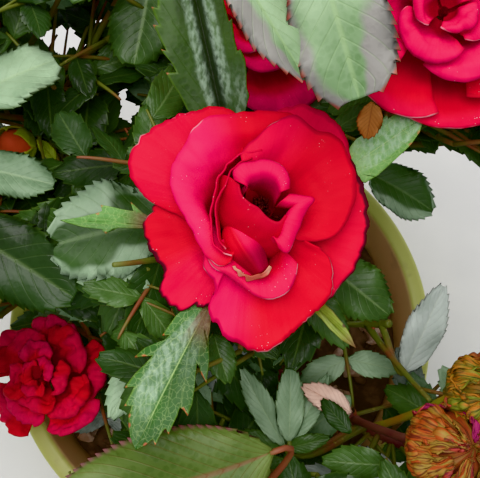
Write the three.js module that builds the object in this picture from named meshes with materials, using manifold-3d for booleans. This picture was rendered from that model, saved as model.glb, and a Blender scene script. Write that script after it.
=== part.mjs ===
// A patio rose bush in its plastic pot: soil, a woody foot, nine canes, a leafy shoot on each cane,
// and the blooms, faded heads and buds that the shoots carry.
// Millimetres and degrees, +Z up, origin in the middle of the pot's flat underside.
import * as THREE from "three";
import Module from "manifold-3d";

const wasm = await Module();
wasm.setup();

// Driving dimensions of the pot and the soil.
const potHeight = 130;
const rimRadius = 75;
const rimWidth = 6;
const rimBandHeight = 13;
const footRadius = 52;
const potWall = 2.6;
const potFloor = 4;
const potSides = 32;
const drainHoles = 5;
const drainHoleRadius = 4.5;
const drainHoleCircle = 32;
const soilBelowRim = 18;
const soilDome = 3;
const seatGap = 0.3;
const potClearance = 4;

// Driving dimensions of the stems.
const stumpRadius = 9;
const stumpHeight = 11;
const stubReach = 15;
const stubRadius = 3.4;
const caneRadius = 2.9;
const stalkRadius = 1.15;
const petioleRadius = 0.75;

// Driving dimensions of the foliage.
const leafletLength = 26;
const leafletShape = 0.64;
const leafletThickness = 0.9;
const leafletFold = 0.16;
const leafletArch = 0.1;
const sunk = 0.6;
const petioleLength = 13;
const rachisLength = 28;
const leafTurn = 137.5;
const sampleRadius = 1.7;
const leafTries = 5;
const leafSwing = 24;
const fewestLeaflets = 3;
const petalThickness = 0.9;

// A flower's hip reaches this many times its own radius above the stalk.
const hipRadius = 4;
const hipReach = 1.9;

// Its sepals start lower, at this many times its radius.
const calyxReach = 1.2;

// The petals of a ring together span twice this angle round the flower.
const petalSpread = 178;

// From one flower to the next its sepals are turned by this.
const sepalTurn = 31;

// A petal is this share shorter at its sides than in its middle.
const petalShoulder = 0.22;

// A petal starts this far from the flower's axis, its lip rolls back beyond this share of its
// length, and its sides sink by this much at the shoulders.
const clawRadius = 1.2;
const lipStart = 0.72;
const shoulderSink = 1.2;
const waveTurns = 3.2;

// The claws of each ring of petals start this much above those of the ring outside it.
const ringLift = 2.4;
const spiralLift = 0.6;

// A curve's handles are this share of the distance between its ends.
const curveHandle = 0.36;

// The bush opens toward one place high above it, where its light comes from.
const light = [7, -44, 413];

// One row for each shoot: where its cane leaves the foot, where its tip is, how its tip points,
// the shares of its length at which the cane and the leafy stem end, and how many leaves it has.
const shoots = [
  {
    name: "centre", turn: 75, rise: 82, tip: [9.4, 8.2, 223], aim: [-1, -27, 96],
    cane: 0.36, stem: 0.86, leaves: 13, twigs: 3, seed: 11,
  },
  {
    name: "back_right", turn: 39, rise: 52, tip: [53, 52, 243], aim: [-12, -25, 96],
    cane: 0.42, stem: 0.88, leaves: 12, twigs: 2, seed: 5,
  },
  {
    name: "back", turn: 82, rise: 50, tip: [10, 63, 214], aim: [2, -10, 98], cane: 0.42,
    stem: 0.86, leaves: 13, twigs: 3, seed: 7,
  },
  {
    name: "back_left", turn: 126, rise: 46, tip: [-70, 72, 212], aim: [-20, 14, 96],
    cane: 0.38, stem: 0.9, leaves: 14, twigs: 3, seed: 3,
  },
  {
    name: "left", turn: 170, rise: 44, tip: [-84, 6, 192], aim: [-24, 0, 96], cane: 0.36,
    stem: 0.9, leaves: 14, twigs: 3, seed: 9,
  },
  {
    name: "front_left", turn: 203, rise: 34, tip: [-53, -19, 137], aim: [-60, -18, 60],
    cane: 0.45, stem: 0.8, leaves: 8, twigs: 1, seed: 2,
  },
  {
    name: "front", turn: 262, rise: 46, tip: [-8, -86, 194], aim: [0, -24, 96], cane: 0.36,
    stem: 0.9, leaves: 13, twigs: 3, seed: 4,
  },
  {
    name: "front_right", turn: 312, rise: 48, tip: [80, -52, 182], aim: [40, -16, 80],
    cane: 0.42, stem: 0.9, leaves: 12, twigs: 2, seed: 8,
  },
  {
    name: "right", turn: 2, rise: 56, tip: [50, -8, 186], aim: [40, -10, 70], cane: 0.45,
    stem: 1, leaves: 8, twigs: 1, seed: 6,
  },
];

// Leaflets and twigs that stand where the bush shows them from above. azimuth and rise aim each blade
// from its base, roll turns its face about its own length, and from is its place on the shoot's stem.
const setLeaves = [
  {
    shoot: "back", from: 0.5, via: [54, 112, 214], base: [4, 55, 274], azimuth: -61,
    rise: -4, length: 33, width: 15, roll: -10,
  },
  {
    shoot: "back", from: 0.44, via: [68, 108, 220], base: [23, 55, 275], azimuth: -76,
    rise: -6, length: 36, width: 20, roll: 12,
  },
  {
    shoot: "front", from: 0.7, base: [16, -45, 224], azimuth: 186, rise: 7, length: 45,
    width: 23, roll: -8,
  },
  {
    shoot: "centre", from: 0.8, base: [-10, 12, 222], azimuth: 176, rise: 10, length: 29,
    width: 23, roll: 14,
  },
  {
    shoot: "centre", from: 0.72, base: [28, 3, 217], azimuth: -52, rise: 6, length: 25,
    width: 15, roll: -10,
  },
  {
    shoot: "right", from: 0.9, base: [52, -22, 189], azimuth: 66, rise: 26, length: 25,
    width: 14, roll: 10,
  },
  {
    shoot: "right", from: 0.6, base: [42, 30, 207], azimuth: -26, rise: -4, length: 21,
    width: 15, roll: 0,
  },
  {
    shoot: "left", from: 0.75, base: [-62, 5, 219], azimuth: -22, rise: 4, length: 28,
    width: 19, roll: 10,
  },
  {
    shoot: "back_left", from: 0.72, base: [-66, 50, 215], azimuth: 22, rise: 6, length: 29,
    width: 21, roll: -12,
  },
  {
    shoot: "left", from: 0.55, base: [-66, 30, 208], azimuth: -4, rise: 0, length: 22,
    width: 14, roll: 0,
  },
  {
    shoot: "back_left", from: 0.5, base: [-17, 84, 220], azimuth: -97, rise: -12,
    length: 26, width: 19, roll: 0,
  },
  {
    shoot: "front_right", from: 0.25, base: [22, -43, 178], azimuth: 130, rise: 22,
    length: 30, width: 14, roll: 0,
  },
  {
    shoot: "front_right", from: 0.22, base: [22, -42, 180], azimuth: 84, rise: 20,
    length: 24, width: 13, roll: 0,
  },
];

// Places where the crown is open down to the rim, the soil and the ground: foot and radius.
const openings = [
  { foot: [72, 38, 130], radius: 26 },
  { foot: [80, 14, 130], radius: 26 },
  { foot: [58, 22, 120], radius: 12 },
  { foot: [-66, -44, 125], radius: 16 },
  { foot: [-42, -42, 116], radius: 9 },
  { foot: [-36, 84, 130], radius: 5 },
  { foot: [-62, 112, 130], radius: 8 },
];

// Small vector and curve helpers.
const vector = (list) => new THREE.Vector3(...list);
const radians = THREE.MathUtils.degToRad;
const upward = new THREE.Vector3(0, 0, 1);
const clamp01 = (x) => Math.min(1, Math.max(0, x));

function aimed(azimuth, rise) {
  const a = radians(azimuth);
  const e = radians(rise);
  return new THREE.Vector3(Math.cos(a) * Math.cos(e), Math.sin(a) * Math.cos(e), Math.sin(e));
}

// A number from 0 to 1 for each call, the same in every run.
function seeded(seed) {
  let state = seed;
  return () => {
    state = (state * 1664525 + 1013904223) % 4294967296;
    return state / 4294967296;
  };
}

// The normal of a blade that runs along a direction: as upright as it can be, then rolled.
function faceOf(along, roll) {
  const face = upward.clone().addScaledVector(along, -upward.dot(along));
  if (face.lengthSq() < 1e-6) face.set(1, 0, 0);
  return face.normalize().applyAxisAngle(along, radians(roll));
}

// Solids from points and triangles, and meshes from solids.
function solidOf(points, triangles) {
  return new wasm.Manifold(
    new wasm.Mesh({
      numProp: 3,
      vertProperties: new Float32Array(points.flatMap((p) => [p.x, p.y, p.z])),
      triVerts: new Uint32Array(triangles.flat()),
    }),
  );
}

// The same, turned so that its faces point out.
function closedSolid(points, triangles) {
  const made = solidOf(points, triangles);
  return made.volume() > 0 ? made : solidOf(points, triangles.map(([a, b, c]) => [a, c, b]));
}

// Joins solids into one, and keeps the outer skin of its largest body, so sealed hollows are filled.
function joined(solids) {
  const bodies = solids.reduce((sum, next) => sum.add(next)).decompose();
  return bodies.reduce((best, next) => (next.volume() > best.volume() ? next : best));
}

function meshOf(name, solid, material) {
  const made = solid.getMesh();
  const stride = made.numProp;
  const positions = new Float32Array(made.numVert * 3);
  for (let i = 0; i < made.numVert; i++) {
    positions.set(made.vertProperties.subarray(i * stride, i * stride + 3), i * 3);
  }
  const geometry = new THREE.BufferGeometry();
  geometry.setAttribute("position", new THREE.BufferAttribute(positions, 3));
  geometry.setIndex(new THREE.BufferAttribute(made.triVerts, 1));
  geometry.computeVertexNormals();
  const mesh = new THREE.Mesh(geometry, material);
  mesh.name = name;
  return mesh;
}

// A tapering limb: one ring of sides for each point of its path, with flat ends, square to ends if
// they are given.
function limb(path, radii, sides, ends = []) {
  const points = [];
  const triangles = [];
  const across = new THREE.Vector3();
  path.forEach((point, i) => {
    const before = path[Math.max(0, i - 1)];
    const after = path[Math.min(path.length - 1, i + 1)];
    const along = after.clone().sub(before).normalize();
    if (i === 0 && ends[0]) along.copy(ends[0]);
    if (i === path.length - 1 && ends[1]) along.copy(ends[1]);
    if (i === 0) across.copy(Math.abs(along.z) < 0.9 ? upward : new THREE.Vector3(1, 0, 0));
    across.addScaledVector(along, -across.dot(along)).normalize();
    const second = along.clone().cross(across);
    for (let k = 0; k < sides; k++) {
      const angle = (2 * Math.PI * k) / sides;
      points.push(
        point
          .clone()
          .addScaledVector(across, radii[i] * Math.cos(angle))
          .addScaledVector(second, radii[i] * Math.sin(angle)),
      );
    }
  });
  for (let i = 0; i + 1 < path.length; i++) {
    for (let k = 0; k < sides; k++) {
      const a = i * sides + k;
      const b = i * sides + ((k + 1) % sides);
      triangles.push([a, b, b + sides], [a, b + sides, a + sides]);
    }
  }
  const last = (path.length - 1) * sides;
  for (let k = 1; k + 1 < sides; k++) {
    triangles.push([0, k + 1, k], [last, last + k, last + k + 1]);
  }
  return solidOf(points, triangles);
}

// A solid of revolution about Z from a closed profile of radius and height.
function turned(profile, sides) {
  const outline = profile.map(([r, z]) => new THREE.Vector2(r, z));
  outline.push(outline[0].clone());
  const lathe = new THREE.LatheGeometry(outline, sides);
  const keys = new Map();
  const points = [];
  const position = lathe.getAttribute("position");
  const index = [];
  for (let i = 0; i < position.count; i++) {
    // LatheGeometry turns about Y: its Y becomes Z here.
    const p = new THREE.Vector3(position.getX(i), -position.getZ(i), position.getY(i));
    const key = [p.x, p.y, p.z].map((value) => Math.round(value * 1000)).join(" ");
    if (!keys.has(key)) {
      keys.set(key, points.length);
      points.push(p);
    }
    index.push(keys.get(key));
  }
  const triangles = [];
  for (let i = 0; i < lathe.index.count; i += 3) {
    const t = [0, 1, 2].map((k) => index[lathe.index.getX(i + k)]);
    if (new Set(t).size === 3) triangles.push(t);
  }
  return closedSolid(points, triangles);
}

// A leaf blade with a ridge above and below its midrib: eight faces with one station along it,
// and eight more for each further one. A station is [share of the length, share of half the width].
function blade({ base, along, face, length, width, arch = leafletArch, stations = [[0.45, 1]] }) {
  const across = face.clone().cross(along);
  const at = (share, side, lift) =>
    base
      .clone()
      .addScaledVector(along, share * length)
      .addScaledVector(across, (side * width) / 2)
      .addScaledVector(face, lift - arch * length * share * share)
      .addScaledVector(face, (Math.abs(side) * leafletFold * width) / 2);
  const points = [at(0, 0, 0), at(1, 0, 0)];
  stations.forEach(([share, half]) => {
    points.push(
      at(share, half, 0),
      at(share, 0, leafletThickness / 2),
      at(share, -half, 0),
      at(share, 0, -leafletThickness / 2),
    );
  });
  const triangles = [];
  const ring = (i, k) => 2 + i * 4 + (k % 4);
  for (let k = 0; k < 4; k++) {
    triangles.push([0, ring(0, k + 1), ring(0, k)]);
    for (let i = 0; i + 1 < stations.length; i++) {
      triangles.push([ring(i, k), ring(i, k + 1), ring(i + 1, k + 1)]);
      triangles.push([ring(i, k), ring(i + 1, k + 1), ring(i + 1, k)]);
    }
    triangles.push([1, ring(stations.length - 1, k), ring(stations.length - 1, k + 1)]);
  }
  return closedSolid(points, triangles);
}

const fullStations = [
  [0.2, 0.72],
  [0.45, 1],
  [0.78, 0.6],
];

// Points spread over a blade, for keeping it clear of what is there already.
function bladeSamples({ base, along, face, length, width, arch = leafletArch }) {
  const across = face.clone().cross(along);
  const samples = [];
  for (let i = 0; i < 7; i++) {
    const share = 0.08 + (0.9 * i) / 6;
    const half = (width / 2) * Math.sin(Math.PI * Math.min(1, share * 1.05) ** 0.85);
    for (let k = -2; k <= 2; k++) {
      samples.push(
        base
          .clone()
          .addScaledVector(along, share * length)
          .addScaledVector(across, (half * k) / 2.2)
          .addScaledVector(face, -arch * length * share * share),
      );
    }
  }
  return samples;
}

// What is already taken: balls, each with the name of what put it there.
const taken = [];
const take = (points, radius, owner) => points.forEach((p) => taken.push({ p, radius, owner }));

// Points close together along a path of straight lengths.
function closePoints(path) {
  return path.slice(1).flatMap((p, i) => {
    const count = Math.ceil(p.distanceTo(path[i]) / 2.5);
    return Array.from({ length: count }, (_, k) => path[i].clone().lerp(p, (k + 1) / count));
  });
}

function isFree(points, radius, ignored) {
  return taken.every(
    (ball) =>
      ignored.includes(ball.owner) ||
      points.every((p) => p.distanceToSquared(ball.p) > (radius + ball.radius) ** 2),
  );
}

// Cones that stay open: each stands on its foot and narrows toward the light.
const openCones = openings.map(({ foot, radius }) => ({ foot: vector(foot), radius, owner: "opening" }));

function isOpenSky(p, owner) {
  const apex = vector(light);
  return openCones.some((cone) => {
    if (cone.owner === owner) return false;
    const axis = apex.clone().sub(cone.foot);
    const reach = axis.length();
    axis.normalize();
    const height = p.clone().sub(cone.foot).dot(axis);
    if (height < 0 || height > reach) return false;
    const off = p.clone().sub(cone.foot).addScaledVector(axis, -height).length();
    return off < cone.radius * (1 - height / reach);
  });
}

// The pot and the soil keep their own room.
const soilTop = potHeight - soilBelowRim;
function isInPot(p) {
  const out = Math.hypot(p.x, p.y);
  const inside = out < rimRadius - rimWidth - potClearance && p.z > soilTop + soilDome + potClearance;
  return out < rimRadius + potClearance && p.z < potHeight + potClearance && !inside;
}

// Each shoot's centreline is one cubic curve from the foot's stub to the tip.
function centreline(shoot) {
  const start = new THREE.Vector3(0, 0, soilTop + soilDome + seatGap + stumpHeight * 0.6);
  const out = aimed(shoot.turn, shoot.rise);
  const stub = start.clone().addScaledVector(out, stubReach);
  const tip = vector(shoot.tip);
  const reach = tip.distanceTo(stub);
  const end = vector(shoot.aim).normalize();
  return {
    start,
    out,
    curve: new THREE.CubicBezierCurve3(
      stub,
      stub.clone().addScaledVector(out, reach * curveHandle),
      tip.clone().addScaledVector(end, -reach * curveHandle),
      tip,
    ),
  };
}

// A cane tapers to a flower stalk's size at the tip.
const radiusAlong = (t) => caneRadius + (stalkRadius - caneRadius) * t ** 0.8;

// The limb along a curve from one share of it to another, short of each end by half a seat gap.
function stretch(curve, from, to, steps, sides) {
  const short = seatGap / 2 / curve.getLength();
  const low = from > 0 ? from + short : from + 2 * short;
  const high = to < 1 ? to - short : to;
  const shares = Array.from({ length: steps + 1 }, (_, i) => low + ((high - low) * i) / steps);
  return limb(
    shares.map((t) => curve.getPoint(t)),
    shares.map(radiusAlong),
    sides,
    [curve.getTangent(low), curve.getTangent(high)],
  );
}

shoots.forEach((shoot) => {
  shoot.line = centreline(shoot);
  shoot.heart = shoot.line.curve.getPoint((shoot.cane + shoot.stem) / 2);
  for (let t = 0; t <= 1; t += 0.025) {
    const owner = (t < shoot.cane + 0.02 ? "cane " : "stem ") + shoot.name;
    take([shoot.line.curve.getPoint(t)], radiusAlong(t) + 1.1, owner);
  }
});

// A mass keeps to the space that is nearer to its own heart than to any other, give or take a little.
const homeSlack = 6;
function isHome(p, shoot) {
  const own = p.distanceTo(shoot.heart) - homeSlack;
  return shoots.every((other) => other === shoot || p.distanceTo(other.heart) > own);
}

// Petals: a sheet that runs from the claw at the flower's base to its lip, given across by u from
// -1 to 1 and along by v from 0 to 1. Its middle follows a cubic curve of distance from the axis and
// height, it spreads to its half angle, its shoulders are rounded, and its lip rolls outward.
function petalPoint(petal, u, v) {
  const { turn, half, reach, height, belly = 0.6, roll = 1.5, skew = 0, wave = 0, lift = 0 } = petal;
  const t = v * (1 - petalShoulder * Math.abs(u) ** 3);
  const s = 1 - t;
  const mid = 3 * s * s * t;
  const late = 3 * s * t * t;
  const end = t * t * t;
  let out = s * s * s * clawRadius + mid * (clawRadius + 0.7 * belly * reach);
  out += late * reach * (0.55 + 0.35 * belly) + end * reach;
  let up = lift * (1 - t) + height * (mid * (0.45 - 0.35 * belly) + 0.95 * late + end);
  out *= 1 + skew * u * t;
  const lip = clamp01((t - lipStart) / (1 - lipStart));
  out += 0.5 * roll * lip * lip;
  up -= roll * lip * lip + shoulderSink * Math.abs(u) ** 3 * t * belly;
  up += wave * Math.sin(waveTurns * u + turn) * t * t;
  const angle = radians(turn + u * half * (0.55 + 0.45 * Math.sqrt(Math.max(0, t))));
  return new THREE.Vector3(out * Math.cos(angle), out * Math.sin(angle), up);
}

// A petal as a closed plate in the flower's own frame.
function petalSolid(petal, place, across, along) {
  const front = [];
  for (let j = 0; j <= along; j++) {
    for (let i = 0; i <= across; i++) {
      front.push(petalPoint(petal, (2 * i) / across - 1, j / along));
    }
  }
  const step = 0.01;
  const back = front.map((p, n) => {
    const u = (2 * (n % (across + 1))) / across - 1;
    const v = Math.floor(n / (across + 1)) / along;
    const du = petalPoint(petal, u + step, v).sub(petalPoint(petal, u - step, v));
    const dv = petalPoint(petal, u, v + step).sub(petalPoint(petal, u, v - step));
    return p.clone().addScaledVector(du.cross(dv).normalize(), petalThickness);
  });
  const points = [...front, ...back].map((p) => p.applyMatrix4(place));
  const triangles = [];
  const count = front.length;
  const id = (i, j) => j * (across + 1) + i;
  const quad = (a, b, c, d) => triangles.push([a, b, c], [a, c, d]);
  for (let j = 0; j < along; j++) {
    for (let i = 0; i < across; i++) {
      quad(id(i, j), id(i, j + 1), id(i + 1, j + 1), id(i + 1, j));
      quad(count + id(i, j), count + id(i + 1, j), count + id(i + 1, j + 1), count + id(i, j + 1));
    }
  }
  const border = [];
  for (let i = 0; i < across; i++) border.push([id(i, 0), id(i + 1, 0)]);
  for (let j = 0; j < along; j++) border.push([id(across, j), id(across, j + 1)]);
  for (let i = across; i > 0; i--) border.push([id(i, along), id(i - 1, along)]);
  for (let j = along; j > 0; j--) border.push([id(0, j), id(0, j - 1)]);
  border.forEach(([a, b]) => quad(a, b, count + b, count + a));
  return closedSolid(points, triangles);
}

// The petals of the large open bloom, from the outermost to the innermost.
const mainPetals = [
  { turn: 142, half: 40, reach: 28.5, height: 12, belly: 0.78, roll: 2.5, wave: 0.8 },
  { turn: 68, half: 36, reach: 30.5, height: 11, belly: 0.8, roll: 1.5, wave: 0.5 },
  { turn: -8, half: 42, reach: 25.5, height: 12, belly: 0.8, roll: 2.5, wave: 0.6 },
  { turn: 213, half: 32, reach: 24.5, height: 12, belly: 0.8, roll: 2, wave: 1.4 },
  { turn: 278, half: 42, reach: 26, height: 13, belly: 0.78, roll: 2, wave: 0.8 },
  { turn: 50, half: 50, reach: 23.5, height: 17, belly: 0.64, roll: 1.5, wave: 0.4 },
  { turn: 160, half: 52, reach: 18, height: 18.5, belly: 0.6, roll: 2.5, skew: -0.2 },
  { turn: 285, half: 56, reach: 16.5, height: 16, belly: 0.6, roll: 1.5, skew: 0.1 },
  { turn: 20, half: 44, reach: 12, height: 18, belly: 0.5, roll: 2.2 },
  { turn: 150, half: 62, reach: 10.5, height: 18.5, belly: 0.42, roll: 1.6 },
  { turn: 250, half: 50, reach: 6.5, height: 17, belly: 0.4, roll: 0.5 },
];

// The kinds of flower: rings of petals from the outside in, and the core they wrap, each size a
// share of the flower's radius or depth.
const largeBloom = {
  petals: mainPetals,
  grid: [4, 3],
  core: [[0.2, 0.1], [0.44, 0.08]],
};
const openBloom = {
  sepalRise: -0.1,
  grid: [3, 2],
  rings: [
    { count: 5, reach: 1, height: 0.6, belly: 0.8, roll: 2.4 },
    { count: 3, reach: 0.64, height: 1, belly: 0.55, roll: 1.6 },
  ],
  core: [[0.5, 0.34], [0.95, 0.28], [1.02, 0.1]],
};
const fullBloom = {
  sepalRise: -0.1,
  grid: [3, 2],
  rings: [
    { count: 5, reach: 1, height: 0.55, belly: 0.85, roll: 2.6 },
    { count: 4, reach: 0.76, height: 0.8, belly: 0.68, roll: 2 },
    { count: 3, reach: 0.5, height: 1, belly: 0.5, roll: 1.4 },
  ],
  core: [[0.5, 0.26], [0.95, 0.22], [1.02, 0.08]],
};
const fadedHead = {
  sepalRise: -0.1,
  grid: [2, 2],
  rings: [{ count: 4, reach: 1.1, height: 0.85, belly: 0.8, roll: 1.5 }],
  core: [[0.5, 0.6], [0.95, 0.45], [1.1, 0.2]],
};
const closedBud = {
  grid: [2, 2],
  sepalRise: 2.2,
  rings: [],
  core: [[0.15, 0.8], [0.4, 1], [0.72, 0.72], [1, 0.16]],
};

function petalRings({ radius, depth, style, seed }) {
  const chance = seeded(seed);
  return style.rings.flatMap(({ count, reach, height, belly, roll }, ring) =>
    Array.from({ length: count }, (_, k) => ({
      turn: (360 * (k + 0.5 * (ring % 2))) / count + 20 * (chance() - 0.5),
      half: petalSpread / count,
      reach: radius * reach * (0.94 + 0.1 * chance()),
      height: depth * height * (0.92 + 0.16 * chance()),
      belly,
      roll: roll * (0.4 + 0.8 * chance()),
      skew: 0.1,
      lift: ringLift * ring,
      wave: 1.4 * chance(),
    })),
  );
}

// A flower on its stalk: the stalk, the hip, sepals, and petals, all one solid. The stalk starts at
// root, runs to the foot of the hip and points there along aim.
function flower({ root, rootAim, foot, aim, hip, petals, sepals, radius, depth, style }) {
  const axis = vector(aim).normalize();
  const base = vector(foot);
  const reach = base.distanceTo(root);
  const stalk = new THREE.CubicBezierCurve3(
    root,
    root.clone().addScaledVector(rootAim, reach * curveHandle),
    base.clone().addScaledVector(axis, -reach * curveHandle),
    base,
  );
  const steps = Math.max(2, Math.round(reach / 18));
  const path = Array.from({ length: steps + 1 }, (_, i) => stalk.getPoint(i / steps));
  const radii = path.map(() => stalkRadius);
  [
    [0.5, 0.55],
    [1.1, 1],
    [hipReach, 0.85],
  ].forEach(([along, wide]) => {
    path.push(base.clone().addScaledVector(axis, along * hip));
    radii.push(wide * hip * 0.78);
  });
  const top = base.clone().addScaledVector(axis, hipReach * hip);
  style.core.forEach(([along, wide]) => {
    path.push(top.clone().addScaledVector(axis, along * depth));
    radii.push(wide * radius);
  });
  const place = new THREE.Matrix4().makeRotationFromQuaternion(
    new THREE.Quaternion().setFromUnitVectors(upward, axis),
  );
  place.setPosition(top);
  const parts = [limb(path, radii, 6)];
  petals.forEach((petal) => parts.push(petalSolid(petal, place, ...style.grid)));
  sepals.forEach((sepal) => {
    const along = aimed(sepal.azimuth, sepal.rise);
    const from = base.clone().addScaledVector(axis, calyxReach * hip).addScaledVector(along, hip * 0.3);
    parts.push(
      blade({
        base: from,
        along,
        face: faceOf(along, sepal.roll || 0),
        length: sepal.length,
        width: sepal.width,
        arch: sepal.arch || 0,
        stations: sepal.length > 24 ? fullStations : [[0.35, 1]],
      }),
    );
  });
  return { solid: joined(parts), path, axis, top };
}

// Five plain sepals spread round a flower that looks along aim.
function plainSepals(aim, length, drop, turn) {
  const axis = vector(aim).normalize();
  const side = faceOf(axis, 0);
  return [0, 1, 2, 3, 4].map((k) => {
    const out = side.clone().applyAxisAngle(axis, radians(turn + 72 * k));
    out.addScaledVector(axis, drop).normalize();
    return {
      azimuth: THREE.MathUtils.radToDeg(Math.atan2(out.y, out.x)),
      rise: THREE.MathUtils.radToDeg(Math.asin(out.z)),
      length,
      width: length * 0.32,
    };
  });
}

// Every flower, faded head and bud: the shoot that bears it and the place on that shoot's stem
// where its stalk starts, then the foot of its hip, the way it faces and its size.
const leafySepals = [
  { azimuth: 103, rise: 27, length: 62, width: 25, roll: -10, arch: 0.02 },
  { azimuth: 32, rise: 25, length: 43, width: 15, roll: 16 },
  { azimuth: -50, rise: 9, length: 36, width: 6.5, roll: 30 },
  { azimuth: -117, rise: 7, length: 57, width: 17, roll: 8, arch: 0.03 },
  { azimuth: 180, rise: 13, length: 41, width: 7, roll: -8 },
];
const flowers = [
  {
    name: "bloom_centre", shoot: "centre", radius: 26, depth: 18, style: largeBloom,
    sepals: leafySepals,
  },
  {
    name: "bloom_back_right", shoot: "back_right", radius: 25, depth: 15, style: fullBloom,
    sepal: 15, seed: 21,
  },
  { name: "bloom_back", shoot: "back", radius: 22, depth: 14, style: openBloom, sepal: 15, seed: 22 },
  {
    name: "bud_outer_back", shoot: "back_left", radius: 7, depth: 15, style: closedBud,
    sepal: 14, seed: 23,
  },
  {
    name: "bud_outer_left", shoot: "left", radius: 7, depth: 15, style: closedBud,
    sepal: 14, seed: 24,
  },
  {
    name: "bloom_front_left", shoot: "front_left", aim: [-20, -6, 95], radius: 19,
    depth: 13, style: openBloom, sepal: 13, seed: 25,
  },
  { name: "bloom_front", shoot: "front", radius: 22, depth: 15, style: openBloom, sepal: 15, seed: 26 },
  {
    name: "bud_outer_right", shoot: "front_right", radius: 7, depth: 15, style: closedBud,
    sepal: 14, seed: 27,
  },
  {
    name: "faded_head_low", shoot: "front_right", from: 0.5, foot: [52, -42, 214],
    aim: [6, -10, 96], radius: 9, depth: 14, style: fadedHead, sepal: 9, seed: 28,
  },
  {
    name: "faded_head_high", shoot: "front_right", from: 0.56, foot: [62, -29, 215],
    aim: [20, 14, 90], radius: 8, depth: 12, style: fadedHead, sepal: 8, seed: 29,
  },
  {
    name: "bud_left", shoot: "left", from: 0.62, foot: [-61, 46, 176], aim: [-4, 4, 98],
    radius: 6, depth: 12, style: closedBud, sepal: 13, seed: 30,
  },
  {
    name: "bud_front", shoot: "front", from: 0.66, foot: [24, -92, 186],
    aim: [24, -30, 90], radius: 6, depth: 12, style: closedBud, sepal: 13, seed: 32,
  },
];

const shootNamed = (name) => shoots.find((shoot) => shoot.name === name);

// Where a stalk or twig starts: at the end of the leafy stem, or beside it.
function rootOf(shoot, from, toward) {
  const { curve } = shoot.line;
  const t = curve.getTangent(from);
  if (from >= shoot.stem) {
    return { root: curve.getPoint(from + seatGap / 2 / curve.getLength()), rootAim: t };
  }
  const out = toward.clone().sub(curve.getPoint(from));
  out.addScaledVector(t, -out.dot(t)).normalize();
  const root = curve.getPoint(from).addScaledVector(out, radiusAlong(from) + stalkRadius * 0.5 + seatGap);
  return { root, rootAim: out.clone().addScaledVector(t, 0.6).normalize() };
}

// The petals and sepals of one row of the table.
const petalsOf = (row) =>
  row.style.petals
    ? row.style.petals.map((petal, i) => ({ ...petal, lift: spiralLift * i }))
    : petalRings(row);
const sepalsOf = (row) =>
  row.sepals || plainSepals(row.aim, row.sepal, row.style.sepalRise, sepalTurn * row.seed);

const heads = flowers.map((given) => {
  const shoot = shootNamed(given.shoot);
  const row = { from: shoot.stem, foot: shoot.tip, aim: shoot.aim, ...given };
  const { name, radius, depth } = row;
  const { solid, path, axis, top } = flower({
    ...row,
    ...rootOf(shoot, row.from, vector(row.foot)),
    hip: Math.min(hipRadius, radius * 0.3),
    petals: petalsOf(row),
    sepals: sepalsOf(row),
  });
  take(closePoints(path), 2, name);
  for (let k = 0; k <= 4; k++) {
    take([top.clone().addScaledVector(axis, (depth * k) / 4)], radius * (0.55 + 0.12 * k), name);
  }
  (row.sepals || []).forEach((sepal) => {
    const along = aimed(sepal.azimuth, sepal.rise);
    const face = faceOf(along, sepal.roll);
    take(bladeSamples({ ...sepal, base: top, along, face, arch: sepal.arch || 0 }), 1.6, name);
    const foot = top.clone().addScaledVector(along, sepal.length * 0.6);
    openCones.push({ foot, radius: sepal.width * 0.7, owner: name });
  });
  openCones.push({ foot: top.clone().addScaledVector(axis, depth), radius: radius * 1.1, owner: name });
  return { name, solid };
});

// A twig from the shoot's stem to a place, sunk in the stem, and the blade that it carries.
function setLeaf(row, parts, shoot) {
  const along = aimed(row.azimuth, row.rise);
  const base = vector(row.base);
  const { curve } = shoot.line;
  const t = shoot.cane + (shoot.stem - shoot.cane) * row.from;
  const root = curve.getPoint(t);
  const reach = base.distanceTo(root);
  const bend = row.via ? vector(row.via) : root.clone().lerp(base, 0.3);
  if (!row.via) bend.addScaledVector(upward, reach * 0.1);
  const twig = new THREE.CubicBezierCurve3(
    root,
    bend,
    base.clone().addScaledVector(along, -reach * 0.3),
    base.clone().addScaledVector(along, sunk),
  );
  const path = Array.from({ length: 5 }, (_, i) => twig.getPoint(i / 4));
  parts.push(limb(path, [1.3, 1.1, 1, 0.9, 0.8], 3));
  const leaf = { ...row, base, along, face: faceOf(along, row.roll) };
  parts.push(blade({ ...leaf, stations: fullStations }));
  take(bladeSamples(leaf), sampleRadius, "set " + row.shoot);
  take(closePoints(path).slice(2), 1.4, "set " + row.shoot);
  const foot = base.clone().addScaledVector(along, row.length * 0.5);
  openCones.push({ foot, radius: row.length * 0.4, owner: "set " + row.shoot });
}

const massParts = new Map(shoots.map((shoot) => [shoot.name, []]));
shoots.forEach((shoot) => {
  massParts.get(shoot.name).push(stretch(shoot.line.curve, shoot.cane, shoot.stem, 6, 6));
});
setLeaves.forEach((row) => setLeaf(row, massParts.get(row.shoot), shootNamed(row.shoot)));

// The leaflets of one leaf: place on its stalk, turn from the stalk, and share of the full size.
const leafletPlan = [
  { at: 1, turn: 0, size: 1 },
  { at: 0.67, turn: 62, size: 0.86 },
  { at: 0.67, turn: -62, size: 0.86 },
  { at: 0.34, turn: 68, size: 0.66 },
  { at: 0.34, turn: -68, size: 0.66 },
];

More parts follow.
